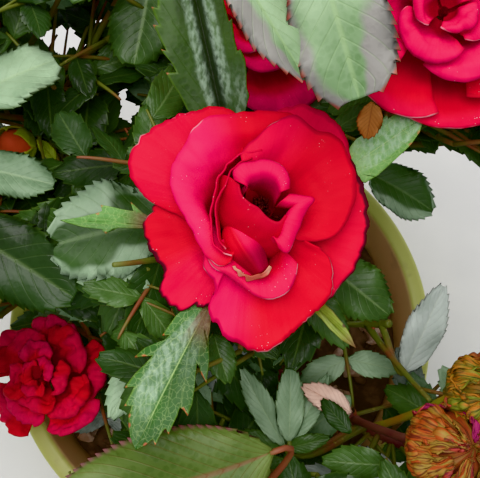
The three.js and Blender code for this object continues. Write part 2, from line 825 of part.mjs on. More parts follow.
// One leaf with up to five leaflets from a point of a stem. A leaflet that would leave the mass's
// space, stand in an opening or touch something is left off, and so is a leaf with too few.
function leafAt({ root, azimuth, rise, scale, droop, roll, shoot, id, ignored }) {
  const out = aimed(azimuth, rise);
  const length = (petioleLength + rachisLength) * scale;
  const pointAt = (t) =>
    root.clone().addScaledVector(out, length * t).addScaledVector(upward, -droop * length * t * t);
  const aimAt = (t) => out.clone().addScaledVector(upward, -2 * droop * t).normalize();
  const stalk = closePoints([0.15, 0.3, 0.45, 0.6, 0.75, 0.9, 1].map(pointAt));
  if (!isFree(stalk, 1, ignored) || stalk.some(isInPot)) return { kept: [] };
  const middle = pointAt(0.5);
  const end = pointAt(1);
  const kept = leafletPlan
    .map(({ at, turn, size }) => {
      const aim = aimAt(at);
      const face = faceOf(aim, roll);
      const along = aim.clone().applyAxisAngle(face, radians(turn));
      const base = at > 0.5 ? middle.clone().lerp(end, 2 * at - 1) : root.clone().lerp(middle, 2 * at);
      const made = { base, along, face, length: leafletLength * scale * size, at };
      made.width = made.length * leafletShape;
      return made;
    })
    .filter((made) => {
      const samples = bladeSamples(made);
      return (
        samples.every((p) => !isInPot(p) && !isOpenSky(p, shoot.name)) &&
        isHome(samples[17], shoot) &&
        isFree(samples, sampleRadius, [id])
      );
    });
  const tipless = !kept.some((made) => made.at === 1);
  const tip = tipless ? middle.clone().lerp(end, 0.5) : end.clone().addScaledVector(aimAt(1), sunk);
  return { kept, stalk, path: [root, middle, tip] };
}

// The best of a few turns of one leaf is grown, and its place is taken.
function growLeaf(given, parts) {
  const choices = Array.from({ length: leafTries }, (_, k) => {
    const swing = (k % 2 ? 1 : -1) * Math.ceil(k / 2) * leafSwing;
    return leafAt({ ...given, azimuth: given.azimuth + swing });
  });
  const best = choices.reduce((a, b) => (b.kept.length > a.kept.length ? b : a));
  if (best.kept.length < fewestLeaflets) return false;
  parts.push(limb(best.path, [petioleRadius * 1.4, petioleRadius * 1.1, petioleRadius], 3));
  best.kept.forEach((made) => {
    parts.push(blade(made));
    take(bladeSamples(made), sampleRadius, given.id);
  });
  take(best.stalk, 1.4, given.id);
  return true;
}

// Leaves along a stem, each a fixed turn from the one before it.
function leavesAlong({ curve, from, to, count, shoot, chance, parts, ignored, scale, tag }) {
  let grown = 0;
  let azimuth = 360 * chance();
  for (let k = 0; k < count; k++) {
    const share = (k + 0.5) / count;
    azimuth += leafTurn + 20 * (chance() - 0.5);
    const rise = 8 + 34 * share + 14 * (chance() - 0.5);
    const size = scale * (0.86 + 0.26 * chance());
    const droop = 0.1 + 0.22 * chance();
    const roll = 50 * (chance() - 0.5);
    const root = curve.getPoint(from + (to - from) * share);
    const id = `${shoot.name} ${tag} ${k}`;
    const given = { root, azimuth, rise, scale: size, droop, roll, shoot, id, ignored };
    if (growLeaf(given, parts)) grown++;
  }
  return grown;
}

// Side twigs of a leafy stem, each with leaves of its own.
function sideTwigs(shoot, chance, parts) {
  const { curve } = shoot.line;
  for (let k = 0; k < shoot.twigs; k++) {
    const t = shoot.cane + (shoot.stem - shoot.cane) * (0.12 + (0.5 * k) / shoot.twigs);
    const root = curve.getPoint(t);
    const outward = THREE.MathUtils.radToDeg(Math.atan2(shoot.heart.y, shoot.heart.x));
    const azimuth = outward + (k % 2 ? -1 : 1) * (38 + 30 * chance());
    const along = aimed(azimuth, 20 + 25 * chance());
    const reach = 34 + 16 * chance();
    const twig = new THREE.QuadraticBezierCurve3(
      root,
      root.clone().addScaledVector(along, reach * 0.55),
      root.clone().addScaledVector(along, reach).addScaledVector(upward, reach * 0.28),
    );
    const id = `${shoot.name} twig ${k}`;
    const path = [0, 0.33, 0.66, 1].map((s) => twig.getPoint(s));
    const samples = closePoints(path).slice(2);
    const own = "stem " + shoot.name;
    const isBlocked = samples.some((p) => isInPot(p) || isOpenSky(p, shoot.name));
    if (isBlocked || !isFree(samples, 1.6, [own])) continue;
    const leaves = [];
    take(samples, 2, id);
    const grown = leavesAlong({
      curve: twig,
      from: 0.3,
      to: 1.08,
      count: 5,
      shoot,
      chance,
      parts: leaves,
      ignored: [own, id],
      scale: 0.88,
      tag: "twig " + k,
    });
    if (grown) parts.push(limb(path, [1.5, 1.3, 1.1, 0.9], 4), ...leaves);
  }
}

shoots.forEach((shoot) => {
  const chance = seeded(shoot.seed);
  const parts = massParts.get(shoot.name);
  leavesAlong({
    curve: shoot.line.curve,
    from: shoot.cane + 0.02,
    to: shoot.stem - 0.03,
    count: shoot.leaves,
    shoot,
    chance,
    parts,
    ignored: ["stem " + shoot.name],
    scale: 1,
    tag: "leaf",
  });
  sideTwigs(shoot, chance, parts);
});

// The pot: a tapered wall with a rolled rim band and a flat floor with drain holes.
function potSolid() {
  const slope = (rimRadius - rimWidth - footRadius) / (potHeight - rimBandHeight);
  const wallAt = (z) => footRadius + slope * z;
  const bandFoot = potHeight - rimBandHeight;
  const shell = turned(
    [
      [0, 0],
      [footRadius - 1.5, 0],
      [footRadius, 1.5],
      [wallAt(bandFoot - 2), bandFoot - 2],
      [rimRadius - 1.2, bandFoot],
      [rimRadius, bandFoot + 1.5],
      [rimRadius, potHeight - 2],
      [rimRadius - 2, potHeight],
      [rimRadius - rimWidth + 1.5, potHeight],
      [rimRadius - rimWidth, potHeight - 2],
      [wallAt(bandFoot) - potWall, bandFoot - 2],
      [wallAt(potFloor) - potWall, potFloor],
      [0, potFloor],
    ],
    potSides,
  );
  let pot = shell;
  for (let k = 0; k < drainHoles; k++) {
    const at = aimed((360 * k) / drainHoles, 0).multiplyScalar(drainHoleCircle);
    const hole = [at.clone().setZ(-potFloor), at.clone().setZ(2 * potFloor)];
    pot = pot.subtract(limb(hole, [drainHoleRadius, drainHoleRadius], 10));
  }
  return pot;
}

function soilSolid() {
  const slope = (rimRadius - rimWidth - footRadius) / (potHeight - rimBandHeight);
  const edgeAt = (z) => footRadius + slope * z - potWall - seatGap * 2;
  return turned(
    [
      [0, potFloor + seatGap],
      [edgeAt(potFloor) - 0.5, potFloor + seatGap],
      [edgeAt(soilTop), soilTop],
      [stumpRadius * 2, soilTop + soilDome],
      [0, soilTop + soilDome],
    ],
    potSides,
  );
}

// The woody foot: a flared stump on the soil that forks into one stub for each cane.
function footSolid() {
  const ground = soilTop + soilDome + seatGap;
  const rings = [
    [0, 1.3],
    [0.25, 1],
    [0.7, 0.86],
    [1, 0.6],
  ];
  const stump = limb(
    rings.map(([share]) => new THREE.Vector3(0, 0, ground + share * stumpHeight)),
    rings.map(([, wide]) => wide * stumpRadius),
    10,
  );
  const stubs = shoots.map(({ line }) => {
    const reach = stubReach - seatGap / 2;
    return limb(
      [line.start.clone(), line.start.clone().addScaledVector(line.out, reach)],
      [stubRadius, caneRadius * 1.05],
      5,
    );
  });
  return joined([stump, ...stubs]);
}

// Materials, from the colours that the plant and pot show.
function material(color, roughness) {
  return new THREE.MeshStandardMaterial({ color, roughness, metalness: 0 });
}

const potPlastic = material(0xa9ad5c, 0.45);
const darkSoil = material(0x3b2a20, 0.95);
const oldWood = material(0x6d5540, 0.85);
const redRind = material(0x5f3b35, 0.6);
const leafGreen = material(0x3d6b39, 0.45);
const roseRed = material(0xd5152f, 0.55);
const fadedPetal = material(0xa9742f, 0.8);
const budGreen = material(0xa9a83a, 0.6);

const bush = new THREE.Group();
bush.name = "potted_rose_bush";
bush.add(meshOf("pot", potSolid(), potPlastic));
bush.add(meshOf("soil", soilSolid(), darkSoil));
bush.add(meshOf("stem_foot", footSolid(), oldWood));
shoots.forEach((shoot) => {
  const cane = stretch(shoot.line.curve, 0, shoot.cane, 6, 7);
  bush.add(meshOf("cane_" + shoot.name, cane, redRind));
  bush.add(meshOf("foliage_" + shoot.name, joined(massParts.get(shoot.name)), leafGreen));
});
heads.forEach(({ name, solid }) => {
  const finish = name.startsWith("faded") ? fadedPetal : name.startsWith("bud") ? budGreen : roseRed;
  bush.add(meshOf(name, solid, finish));
});

export default bush;
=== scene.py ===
"""The looks of a patio rose bush in its pot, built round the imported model.

Shapes are worked out in millimetres, as whole arrays, and go into meshes in metres. A blade, a petal, a
stem, the pot and the soil are each a surface given by a function of two parameters. The leafy shoots grow
by the rule of the part's source, written again here and carried on to finer twigs.
"""
import math

import bpy
import numpy as np
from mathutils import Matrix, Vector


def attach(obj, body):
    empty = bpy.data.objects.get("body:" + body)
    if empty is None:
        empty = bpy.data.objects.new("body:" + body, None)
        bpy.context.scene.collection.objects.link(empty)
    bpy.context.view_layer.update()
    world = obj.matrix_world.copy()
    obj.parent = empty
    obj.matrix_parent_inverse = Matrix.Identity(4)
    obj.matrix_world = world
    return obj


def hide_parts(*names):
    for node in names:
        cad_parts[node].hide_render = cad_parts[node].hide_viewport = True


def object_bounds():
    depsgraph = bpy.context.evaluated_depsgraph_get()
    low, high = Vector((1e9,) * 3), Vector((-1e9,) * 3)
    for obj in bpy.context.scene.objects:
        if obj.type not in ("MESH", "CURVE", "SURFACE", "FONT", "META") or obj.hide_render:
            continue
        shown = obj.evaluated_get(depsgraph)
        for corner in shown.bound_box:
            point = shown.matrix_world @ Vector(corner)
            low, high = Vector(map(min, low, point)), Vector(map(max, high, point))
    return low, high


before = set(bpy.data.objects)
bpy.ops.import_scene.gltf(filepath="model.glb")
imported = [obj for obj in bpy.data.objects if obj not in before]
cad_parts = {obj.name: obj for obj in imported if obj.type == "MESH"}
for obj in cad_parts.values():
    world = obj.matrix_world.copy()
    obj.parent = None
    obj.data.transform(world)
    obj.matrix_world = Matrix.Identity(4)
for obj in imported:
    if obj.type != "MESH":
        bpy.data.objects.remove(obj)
cad_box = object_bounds()
MM = 0.001

# Sizes of the pot and the soil, as in the part.
POT_HEIGHT = 130
RIM_RADIUS = 75
RIM_WIDTH = 6
RIM_BAND = 13
FOOT_RADIUS = 52
POT_WALL = 2.6
POT_FLOOR = 4
DRAIN_HOLES = 5
DRAIN_HOLE_RADIUS = 4.5
DRAIN_HOLE_CIRCLE = 32
SOIL_TOP = POT_HEIGHT - 18
SOIL_DOME = 3
SEAT_GAP = 0.3
POT_CLEARANCE = 4

# Sizes of the stems and the foliage, as in the part.
STUMP_RADIUS = 9
STUMP_HEIGHT = 11
STUB_REACH = 15
STUB_RADIUS = 3.6
CANE_RADIUS = 2.9
STALK_RADIUS = 1.15
PETIOLE_RADIUS = 0.75
LEAFLET_LENGTH = 26
LEAFLET_SHAPE = 0.64
LEAFLET_ARCH = 0.1
SUNK = 0.6
PETIOLE_LENGTH = 13
RACHIS_LENGTH = 28
LEAF_TURN = 137.5
LEAF_TRIES = 5
LEAF_SWING = 24
HIP_RADIUS = 4
HIP_REACH = 1.9
CURVE_HANDLE = 0.36
HOME_SLACK = 6
LIGHT_APEX = np.array([7.0, -44.0, 413.0])
WALL_SLOPE = (RIM_RADIUS - RIM_WIDTH - FOOT_RADIUS) / (POT_HEIGHT - RIM_BAND)

# The room in millimetres that each thing keeps round it while the crown grows, the steps in which a path
# and a shoot's curve take theirs, and how far round a leaf and a twig is looked at, as in the part.
STEM_ROOM = 1.1
TWIG_ROOM = 2
STALK_ROOM = 1.4
BLADE_ROOM = 1.7
SEPAL_ROOM = 1.6
BALL_STEP = 2.5
STEM_SHARES = np.arange(41) * 0.025
LEAF_AROUND = 75
TWIG_AROUND = 80

# The camera: where it stands, how far it leans toward the back from straight down, and its lens.
CAMERA_PLACE = np.array([7.3, -43.8, 412.8])
CAMERA_LEAN = 15
CAMERA_LENS = 60
SENSOR_WIDTH = 36


# Small vector helpers on arrays.
UP = np.array([0.0, 0, 1])
NO_LENGTH = 1e-9


def unit(v):
    return v / np.maximum(np.linalg.norm(v, axis=-1, keepdims=True), NO_LENGTH)


def aimed(azimuth, rise):
    """The unit vector of an azimuth and a rise above the ground, in degrees."""
    a, e = math.radians(azimuth), math.radians(rise)
    return np.array([math.cos(a) * math.cos(e), math.sin(a) * math.cos(e), math.sin(e)])


def turned_about(v, axis, degrees):
    """v turned about a unit axis: its part along the axis stays, the rest turns."""
    a = math.radians(degrees)
    return v * math.cos(a) + np.cross(axis, v) * math.sin(a) + axis * (v @ axis) * (1 - math.cos(a))


def face_of(along, roll):
    """The normal of a blade that runs along a direction: as upright as it can be, then rolled."""
    return turned_about(unit(UP - along * along[2]), along, roll)


def seeded(seed):
    """A number from 0 to 1 for each call, the same in every run and in the part: each one is the one
    before it times a factor plus a step, and what is left of that past a whole circle."""
    factor, step, circle = 1664525, 1013904223, 4294967296
    state = seed

    def chance():
        nonlocal state
        state = (state * factor + step) % circle
        return state / circle

    return chance


def clamp01(x):
    return np.clip(x, 0, 1)


def smooth_step(low, high, x):
    """From 0 where x is low to 1 where it is high, with level ends."""
    t = clamp01((x - low) / (high - low))
    return t * t * (3 - 2 * t)


def window(x, low, high, soft=0.1):
    """One between low and high, and smoothly none outside."""
    return smooth_step(low - soft, low + soft, x) * (1 - smooth_step(high - soft, high + soft, x))


def grid(rows, columns, low=-1):
    """Shares down a sheet, from 0 to 1, and across it, from low to 1."""
    return np.linspace(0, 1, rows)[:, None], np.linspace(low, 1, columns)[None, :]


def level(height, *outline):
    """Points of an outline that is all at one height."""
    return [(x, y, height) for x, y in outline]


def table(keys, *rows):
    """Rows of values, each as a dictionary under the same keys."""
    return [dict(zip(keys, row)) for row in rows]


def bezier(controls, t):
    """A Bezier curve of any degree: each control counts with its binomial share at t."""
    controls = np.asarray(controls, float)
    t = np.asarray(t, float)[..., None]
    n = len(controls) - 1
    shares = [math.comb(n, k) * t**k * (1 - t) ** (n - k) for k in range(n + 1)]
    return sum(share * control for share, control in zip(shares, controls))


def through(points, t):
    """A smooth curve through points, t from 0 to 1 by distance: a cubic between each two of them,
    whose slope at a point is that of the chord between its neighbours."""
    points = np.asarray(points, float)
    knots = np.r_[0, np.cumsum(np.linalg.norm(np.diff(points, axis=0), axis=1))]
    slopes = np.gradient(points, knots, axis=0)
    at = np.asarray(t, float) * knots[-1]
    i = np.clip(np.searchsorted(knots, at, side="right") - 1, 0, len(points) - 2)
    gap = (knots[i + 1] - knots[i])[..., None]
    s = ((at - knots[i]) / gap[..., 0])[..., None]
    return (
        points[i] * (2 * s**3 - 3 * s**2 + 1)
        + slopes[i] * gap * (s**3 - 2 * s**2 + s)
        + points[i + 1] * (3 * s**2 - 2 * s**3)
        + slopes[i + 1] * gap * (s**3 - s**2)
    )


def ripples(points, size, seed, waves=9):
    """Smooth relief from -1 to 1: the mean of sine waves of about one size in set directions."""
    rng = np.random.default_rng(seed)
    total = 0
    for _ in range(waves):
        way = unit(rng.normal(size=points.shape[-1])) * rng.uniform(0.6, 1.5) * 2 * math.pi / size
        total = total + np.sin(points @ way + rng.uniform(0, 2 * math.pi))
    return total / math.sqrt(waves)


# Meshes from arrays.
class Bag:
    """Surfaces of one kind, gathered to become one piece."""

    def __init__(self):
        self.points, self.faces, self.slots, self.facts = [], [], [], []
        self.count = 0

    def add(self, points, faces, slot=0, **facts):
        """points (n, 3), faces (m, 4) with -1 for the fourth corner of a triangle, the material slot of
        the faces, and one number per point for each fact."""
        points = np.asarray(points, float).reshape(-1, 3)
        faces = np.asarray(faces)
        self.points.append(points)
        self.faces.append(np.where(faces < 0, -1, faces + self.count))
        self.slots.append(np.full(len(faces), slot))
        self.facts.append({key: np.broadcast_to(value, len(points)) for key, value in facts.items()})
        self.count += len(points)


def linked(name, data):
    """A new object in the scene."""
    made = bpy.data.objects.new(name, data)
    bpy.context.scene.collection.objects.link(made)
    return made


def piece(name, bag, materials, replaces=(), body="root"):
    """A bag becomes a shown piece with its materials and facts, riding on its body."""
    points = np.concatenate(bag.points) * MM
    faces = np.concatenate(bag.faces).astype(np.int32)
    mesh = bpy.data.meshes.new(name)
    mesh.vertices.add(len(points))
    mesh.vertices.foreach_set("co", points.astype(np.float32).ravel())
    corners = faces[faces >= 0]
    sizes = (faces >= 0).sum(1)
    mesh.loops.add(len(corners))
    mesh.loops.foreach_set("vertex_index", corners)
    mesh.polygons.add(len(faces))
    mesh.polygons.foreach_set("loop_start", (np.cumsum(sizes) - sizes).astype(np.int32))
    mesh.polygons.foreach_set("material_index", np.concatenate(bag.slots).astype(np.int32))
    mesh.polygons.foreach_set("use_smooth", np.ones(len(faces), bool))
    mesh.update(calc_edges=True)
    for key in sorted({key for facts in bag.facts for key in facts}):
        values = np.concatenate(
            [np.asarray(facts.get(key, np.zeros(len(p)))) for facts, p in zip(bag.facts, bag.points)]
        )
        mesh.attributes.new(key, "FLOAT", "POINT").data.foreach_set("value", values.astype(np.float32))
    for material in materials:
        mesh.materials.append(material)
    made = linked(name, mesh)
    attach(made, body)
    if replaces:
        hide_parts(*replaces)
    return made


def grid_faces(rows, columns, wrap=False):
    """The quads between neighbouring points of a grid, and round from the last column to the first."""
    i = np.arange(rows - 1)[:, None]
    j = np.arange(columns if wrap else columns - 1)[None, :]
    after = (j + 1) % columns
    quads = [i * columns + j, i * columns + after, (i + 1) * columns + after, (i + 1) * columns + j]
    return np.stack(np.broadcast_arrays(*quads), -1).reshape(-1, 4)


def shell_faces(rows, columns):
    """The quads of a closed plate: its front, its back behind that, and the border between them."""
    front = grid_faces(rows, columns)
    back = front[:, ::-1] + rows * columns
    i, j = np.arange(columns), np.arange(rows) * columns
    rim = np.concatenate([i, j[1:] + columns - 1, (rows - 1) * columns + i[-2::-1], j[-2::-1]])
    border = np.stack([rim[:-1], rim[:-1] + rows * columns, rim[1:] + rows * columns, rim[1:]], -1)
    return np.concatenate([front, back, border])


def normals_of(sheet):
    """The unit normals of sheets of points (..., rows, columns, 3), from their slopes both ways."""
    down = np.gradient(sheet, axis=-3)
    side = np.gradient(sheet, axis=-2)
    return unit(np.cross(side, down))


def add_plates(bag, sheets, thickness, slots, **facts):
    """Adds sheets (n, rows, columns, 3) to a bag as closed plates: the points of each sheet's front, then
    those of its back behind them. Each fact is an array over the sheets' points, or spreads to one."""
    n, rows, columns = sheets.shape[:3]
    half = normals_of(sheets) * thickness / 2
    both = np.stack([sheets + half, sheets - half], 1)
    faces = shell_faces(rows, columns)
    offsets = (np.arange(n) * 2 * rows * columns)[:, None, None]
    spread = {
        key: np.repeat(np.broadcast_to(value, (n, rows, columns))[:, None], 2, axis=1).reshape(-1)
        for key, value in facts.items()
    }
    slots = np.repeat(np.broadcast_to(slots, n), len(faces))
    bag.add(both, (faces[None] + offsets).reshape(-1, 4), slots, **spread)


def closed_rings(rings):
    """A skin over rings of points (rows, columns, 3), closed at both ends by a fan to the ring's middle."""
    rows, columns = rings.shape[:2]
    points = np.concatenate([rings.reshape(-1, 3), rings[:1].mean(1), rings[-1:].mean(1)])
    j, none = np.arange(columns), np.full(columns, -1)
    after, top = (j + 1) % columns, (rows - 1) * columns
    first = np.stack([after, j, np.full(columns, rows * columns), none], -1)
    last = np.stack([j + top, after + top, np.full(columns, rows * columns + 1), none], -1)
    return points, np.concatenate([grid_faces(rows, columns, wrap=True), first, last])


def full_turn(count):
    """Angles all round, in equal steps."""
    return np.arange(count) * 2 * math.pi / count


def round_sheet(out, angle, height):
    """Points round an axis by their distance from it, their angle and their height."""
    return np.stack(np.broadcast_arrays(out * np.cos(angle), out * np.sin(angle), height), -1)


def tube(path, radii, sides, relief=None):
    """A closed tube: a ring of points round each point of its path, square to it. Relief is a share of
    the radius that follows from the place."""
    path, radii = np.asarray(path, float), np.asarray(radii, float)
    along = unit(np.gradient(path, axis=0))
    mean = unit(path[-1] - path[0])
    lead = np.eye(3)[np.argmin(np.abs(mean))]
    across = unit(np.cross(along, lead))
    second = np.cross(along, across)
    angle = full_turn(sides)[:, None]
    ring = across[:, None] * np.cos(angle) + second[:, None] * np.sin(angle)
    wide = np.broadcast_to(radii[:, None], (len(path), sides))
    if relief is not None:
        wide = wide * (1 + relief(path[:, None] + ring * radii[:, None, None]))
    return closed_rings(path[:, None] + ring * wide[..., None])


# The shoots: where each cane leaves the foot, its tip, how the tip points, the shares of its length at
# which cane and leafy stem end, its leaves and side twigs, and the seed of its rule.
SHOOTS = table(
    ("name", "turn", "rise", "tip", "aim", "cane", "stem", "leaves", "twigs", "seed"),
    ("centre", 75, 82, (9.4, 8.2, 223), (-1, -27, 96), 0.36, 0.86, 13, 3, 11),
    ("back_right", 39, 52, (53, 52, 243), (-12, -25, 96), 0.42, 0.88, 12, 2, 5),
    ("back", 82, 50, (10, 63, 214), (2, -10, 98), 0.42, 0.86, 13, 3, 7),
    ("back_left", 126, 46, (-70, 72, 212), (-20, 14, 96), 0.38, 0.9, 14, 3, 3),
    ("left", 170, 44, (-84, 6, 192), (-24, 0, 96), 0.36, 0.9, 14, 3, 9),
    ("front_left", 203, 34, (-53, -19, 137), (-60, -18, 60), 0.45, 0.8, 8, 1, 2),
    ("front", 262, 46, (-8, -86, 194), (0, -24, 96), 0.36, 0.9, 13, 3, 4),
    ("front_right", 312, 48, (80, -52, 182), (40, -16, 80), 0.42, 0.9, 12, 2, 8),
    ("right", 2, 56, (50, -8, 186), (40, -10, 70), 0.45, 1, 8, 1, 6),
)

# Leaflets and twigs that stand where the bush shows them from above, as in the part: shoot, place on its
# stem, the twig's bend if it is led round something, base, azimuth, rise, length, width and roll.
SET_LEAVES = table(
    ("shoot", "start", "via", "base", "azimuth", "rise", "length", "width", "roll"),
    ("back", 0.5, (54, 112, 214), (4, 55, 274), -61, -4, 33, 15, -10),
    ("back", 0.44, (68, 108, 220), (23, 55, 275), -76, -6, 36, 20, 12),
    ("front", 0.7, None, (16, -45, 224), 186, 7, 45, 23, -8),
    ("centre", 0.8, None, (-10, 12, 222), 176, 10, 29, 23, 14),
    ("centre", 0.72, None, (28, 3, 217), -52, 6, 25, 15, -10),
    ("right", 0.9, None, (52, -22, 189), 66, 26, 25, 14, 10),
    ("right", 0.6, None, (42, 30, 207), -26, -4, 21, 15, 0),
    ("left", 0.75, None, (-62, 5, 219), -22, 4, 28, 19, 10),
    ("back_left", 0.72, None, (-66, 50, 215), 22, 6, 29, 21, -12),
    ("left", 0.55, None, (-66, 30, 208), -4, 0, 22, 14, 0),
    ("back_left", 0.5, None, (-17, 84, 220), -97, -12, 26, 19, 0),
    ("front_right", 0.25, None, (22, -43, 178), 130, 22, 30, 14, 0),
    ("front_right", 0.22, None, (22, -42, 180), 84, 20, 24, 13, 0),
)

# How these leaflets are shown, nearer to the bush's own shape than the part's plain blades are. The
# shoulder and the taper say how soon a blade grows wide and how soon it narrows again.
SHOWN_LEAVES = table(
    ("base", "azimuth", "rise", "length", "width", "roll", "shoulder", "taper", "kind"),
    ((4, 55, 274), -64, -5, 32, 16, -10, 0.62, 0.6, "young"),
    ((22, 55, 275), -75, -9, 33, 25, 8, 0.6, 0.36, "young"),
    ((14.6, -43.5, 224), -158, 7, 50, 31, -4, 0.62, 0.74, "long"),
    ((-11, 12.3, 220), -171, 8, 29, 30, 4, 0.5, 0.5, "edged"),
    ((28, 3, 217), -40, -8, 22, 18, -6, 0.6, 0.7, "green"),
    ((53, -22, 189), 66, 26, 26, 13, 10, 0.6, 0.7, "silver"),
    ((42, 30, 207), -24, -8, 21, 16, 0, 0.6, 0.6, "edged"),
    ((-64, 12, 219), -31, 1, 35, 24, 6, 0.6, 0.55, "deep"),
    ((-66, 42.5, 222), 33, 4, 28, 24, -6, 0.6, 0.42, "grey"),
    ((-67, 32, 208), -12, -1, 24, 16, 0, 0.6, 0.6, "grey"),
    ((-17, 84, 220), -97, -10, 26, 22, 0, 0.6, 0.45, "green"),
    ((20, -42, 178), 122, 19, 25, 9, 0, 0.62, 0.7, "grey"),
    ((21, -41, 180), 87, 22, 22, 10, 0, 0.62, 0.7, "grey"),
)

# Cones in which the crown is open down to the rim, the soil and the ground: foot and radius.
OPENINGS = [
    ((72, 38, 130), 26), ((80, 14, 130), 26), ((58, 22, 120), 12), ((-66, -44, 125), 16),
    ((-42, -42, 116), 9), ((-36, 84, 130), 5), ((-62, 112, 130), 8),
]
SMALL_OPENING = 10

# Further cones that the fine leaves keep open, so that the soil, the canes and the rim show.
FINE_OPENINGS = [
    ((47, -14, 116), 15), ((36, -25, 116), 10), ((62, 14, 125), 14), ((80, 31, 116), 18), ((30, -26, 151), 8),
    ((39, -31.5, 154), 9), ((48, -36, 157), 9), ((56, -41, 160), 8),
]


class Places:
    """What is already taken: balls, each with the name of what put it there, and the open cones."""

    def __init__(self):
        self.points, self.radii, self.owners = np.zeros((0, 3)), np.zeros(0), np.zeros(0, int)
        self.names = {}
        self.cones = [(np.array(foot, float), radius, "opening") for foot, radius in OPENINGS]

    def number(self, owner):
        return self.names.setdefault(owner, len(self.names))

    def take(self, points, radius, owner):
        points = np.asarray(points, float).reshape(-1, 3)
        self.points = np.concatenate([self.points, points])
        self.radii = np.r_[self.radii, np.full(len(points), float(radius))]
        self.owners = np.r_[self.owners, np.full(len(points), self.number(owner))]

    def near(self, place, reach):
        """The balls within reach of a place, as a smaller copy to search."""
        here = np.linalg.norm(self.points - place, axis=1) < reach + self.radii
        return self.points[here], self.radii[here], self.owners[here]

    def is_free(self, points, radius, ignored, local):
        """Whether points with room round them keep clear of the balls of a place but for those ignored."""
        balls, radii, owners = local
        reach = (radii + radius)[:, None]
        close = ((balls > points.min(0) - reach) & (balls < points.max(0) + reach)).all(1)
        close &= ~np.isin(owners, [self.number(name) for name in ignored])
        gaps = ((points[:, None] - balls[None, close]) ** 2).sum(-1)
        return bool((gaps > np.maximum(radius + radii[close], 0) ** 2).all())

    def open_sky(self, points, owner, share):
        """Which points stand in an open cone: it narrows from its foot toward the light. The cones of
        small openings count with a share of their radius, and a mass's own cones don't count."""
        feet, radii, names = zip(*[cone for cone in self.cones if cone[2] != owner])
        feet, radii = np.array(feet), np.array(radii)
        axes = unit(LIGHT_APEX - feet)
        reach = np.linalg.norm(LIGHT_APEX - feet, axis=1)
        small = (np.array(names) == "opening") & (radii < SMALL_OPENING)
        wide = radii * np.where(small, share, 1)
        offset = points[:, None] - feet
        height = (offset * axes).sum(-1)
        off = np.linalg.norm(offset - height[..., None] * axes, axis=-1)
        return ((height >= 0) & (height <= reach) & (off < wide * (1 - height / reach))).any(1)


def in_pot(points):
    """Which points stand in the room that the pot and the soil keep."""
    out, height = np.hypot(points[:, 0], points[:, 1]), points[:, 2]
    over_soil = height > SOIL_TOP + SOIL_DOME + POT_CLEARANCE
    inside = (out < RIM_RADIUS - RIM_WIDTH - POT_CLEARANCE) & over_soil
    return (out < RIM_RADIUS + POT_CLEARANCE) & (height < POT_HEIGHT + POT_CLEARANCE) & ~inside


def close_points(path):
    """Points close together along a path of straight lengths."""
    path = np.asarray(path, float)
    lengths = []
    for a, b in zip(path[:-1], path[1:]):
        count = math.ceil(np.linalg.norm(b - a) / BALL_STEP)
        lengths.append(a + (b - a) * (np.arange(1, count + 1) / count)[:, None])
    return np.concatenate(lengths)


def blade_samples(blade):
    """Points spread over a blade, for keeping it clear of what is there already."""
    across = np.cross(blade["face"], blade["along"])
    share = 0.08 + 0.9 * np.arange(7) / 6
    half = blade["width"] / 2 * np.sin(math.pi * np.minimum(1, share * 1.05) ** 0.85)
    side = np.arange(-2, 3) / 2.2
    length = blade["length"]
    drop = blade.get("arch", LEAFLET_ARCH) * length * share**2
    middle = blade["base"] + share[:, None] * length * blade["along"] - drop[:, None] * blade["face"]
    return (middle[:, None] + (half[:, None] * side)[..., None] * across).reshape(-1, 3)


def radius_along(t):
    """How a shoot tapers along its curve."""
    return CANE_RADIUS + (STALK_RADIUS - CANE_RADIUS) * np.asarray(t, float) ** 0.8


def centreline(shoot):
    """A shoot's centreline: one cubic curve from the foot's stub to the tip."""
    start = np.array([0, 0, SOIL_TOP + SOIL_DOME + SEAT_GAP + STUMP_HEIGHT * 0.6])
    out = aimed(shoot["turn"], shoot["rise"])
    stub, tip = start + out * STUB_REACH, np.array(shoot["tip"], float)
    reach = np.linalg.norm(tip - stub)
    end = unit(np.array(shoot["aim"], float))
    return start, np.array([stub, stub + out * reach * CURVE_HANDLE, tip - end * reach * CURVE_HANDLE, tip])


def tangent(curve, t):
    return unit(bezier(curve, min(1, t + 1e-4)) - bezier(curve, max(0, t - 1e-4)))


# The rule's leaf: up to five leaflets, each with its place on the stalk, its turn and its size.
LEAFLET_PLAN = [(1, 0, 1), (0.67, 62, 0.86), (0.67, -62, 0.86), (0.34, 68, 0.66), (0.34, -68, 0.66)]


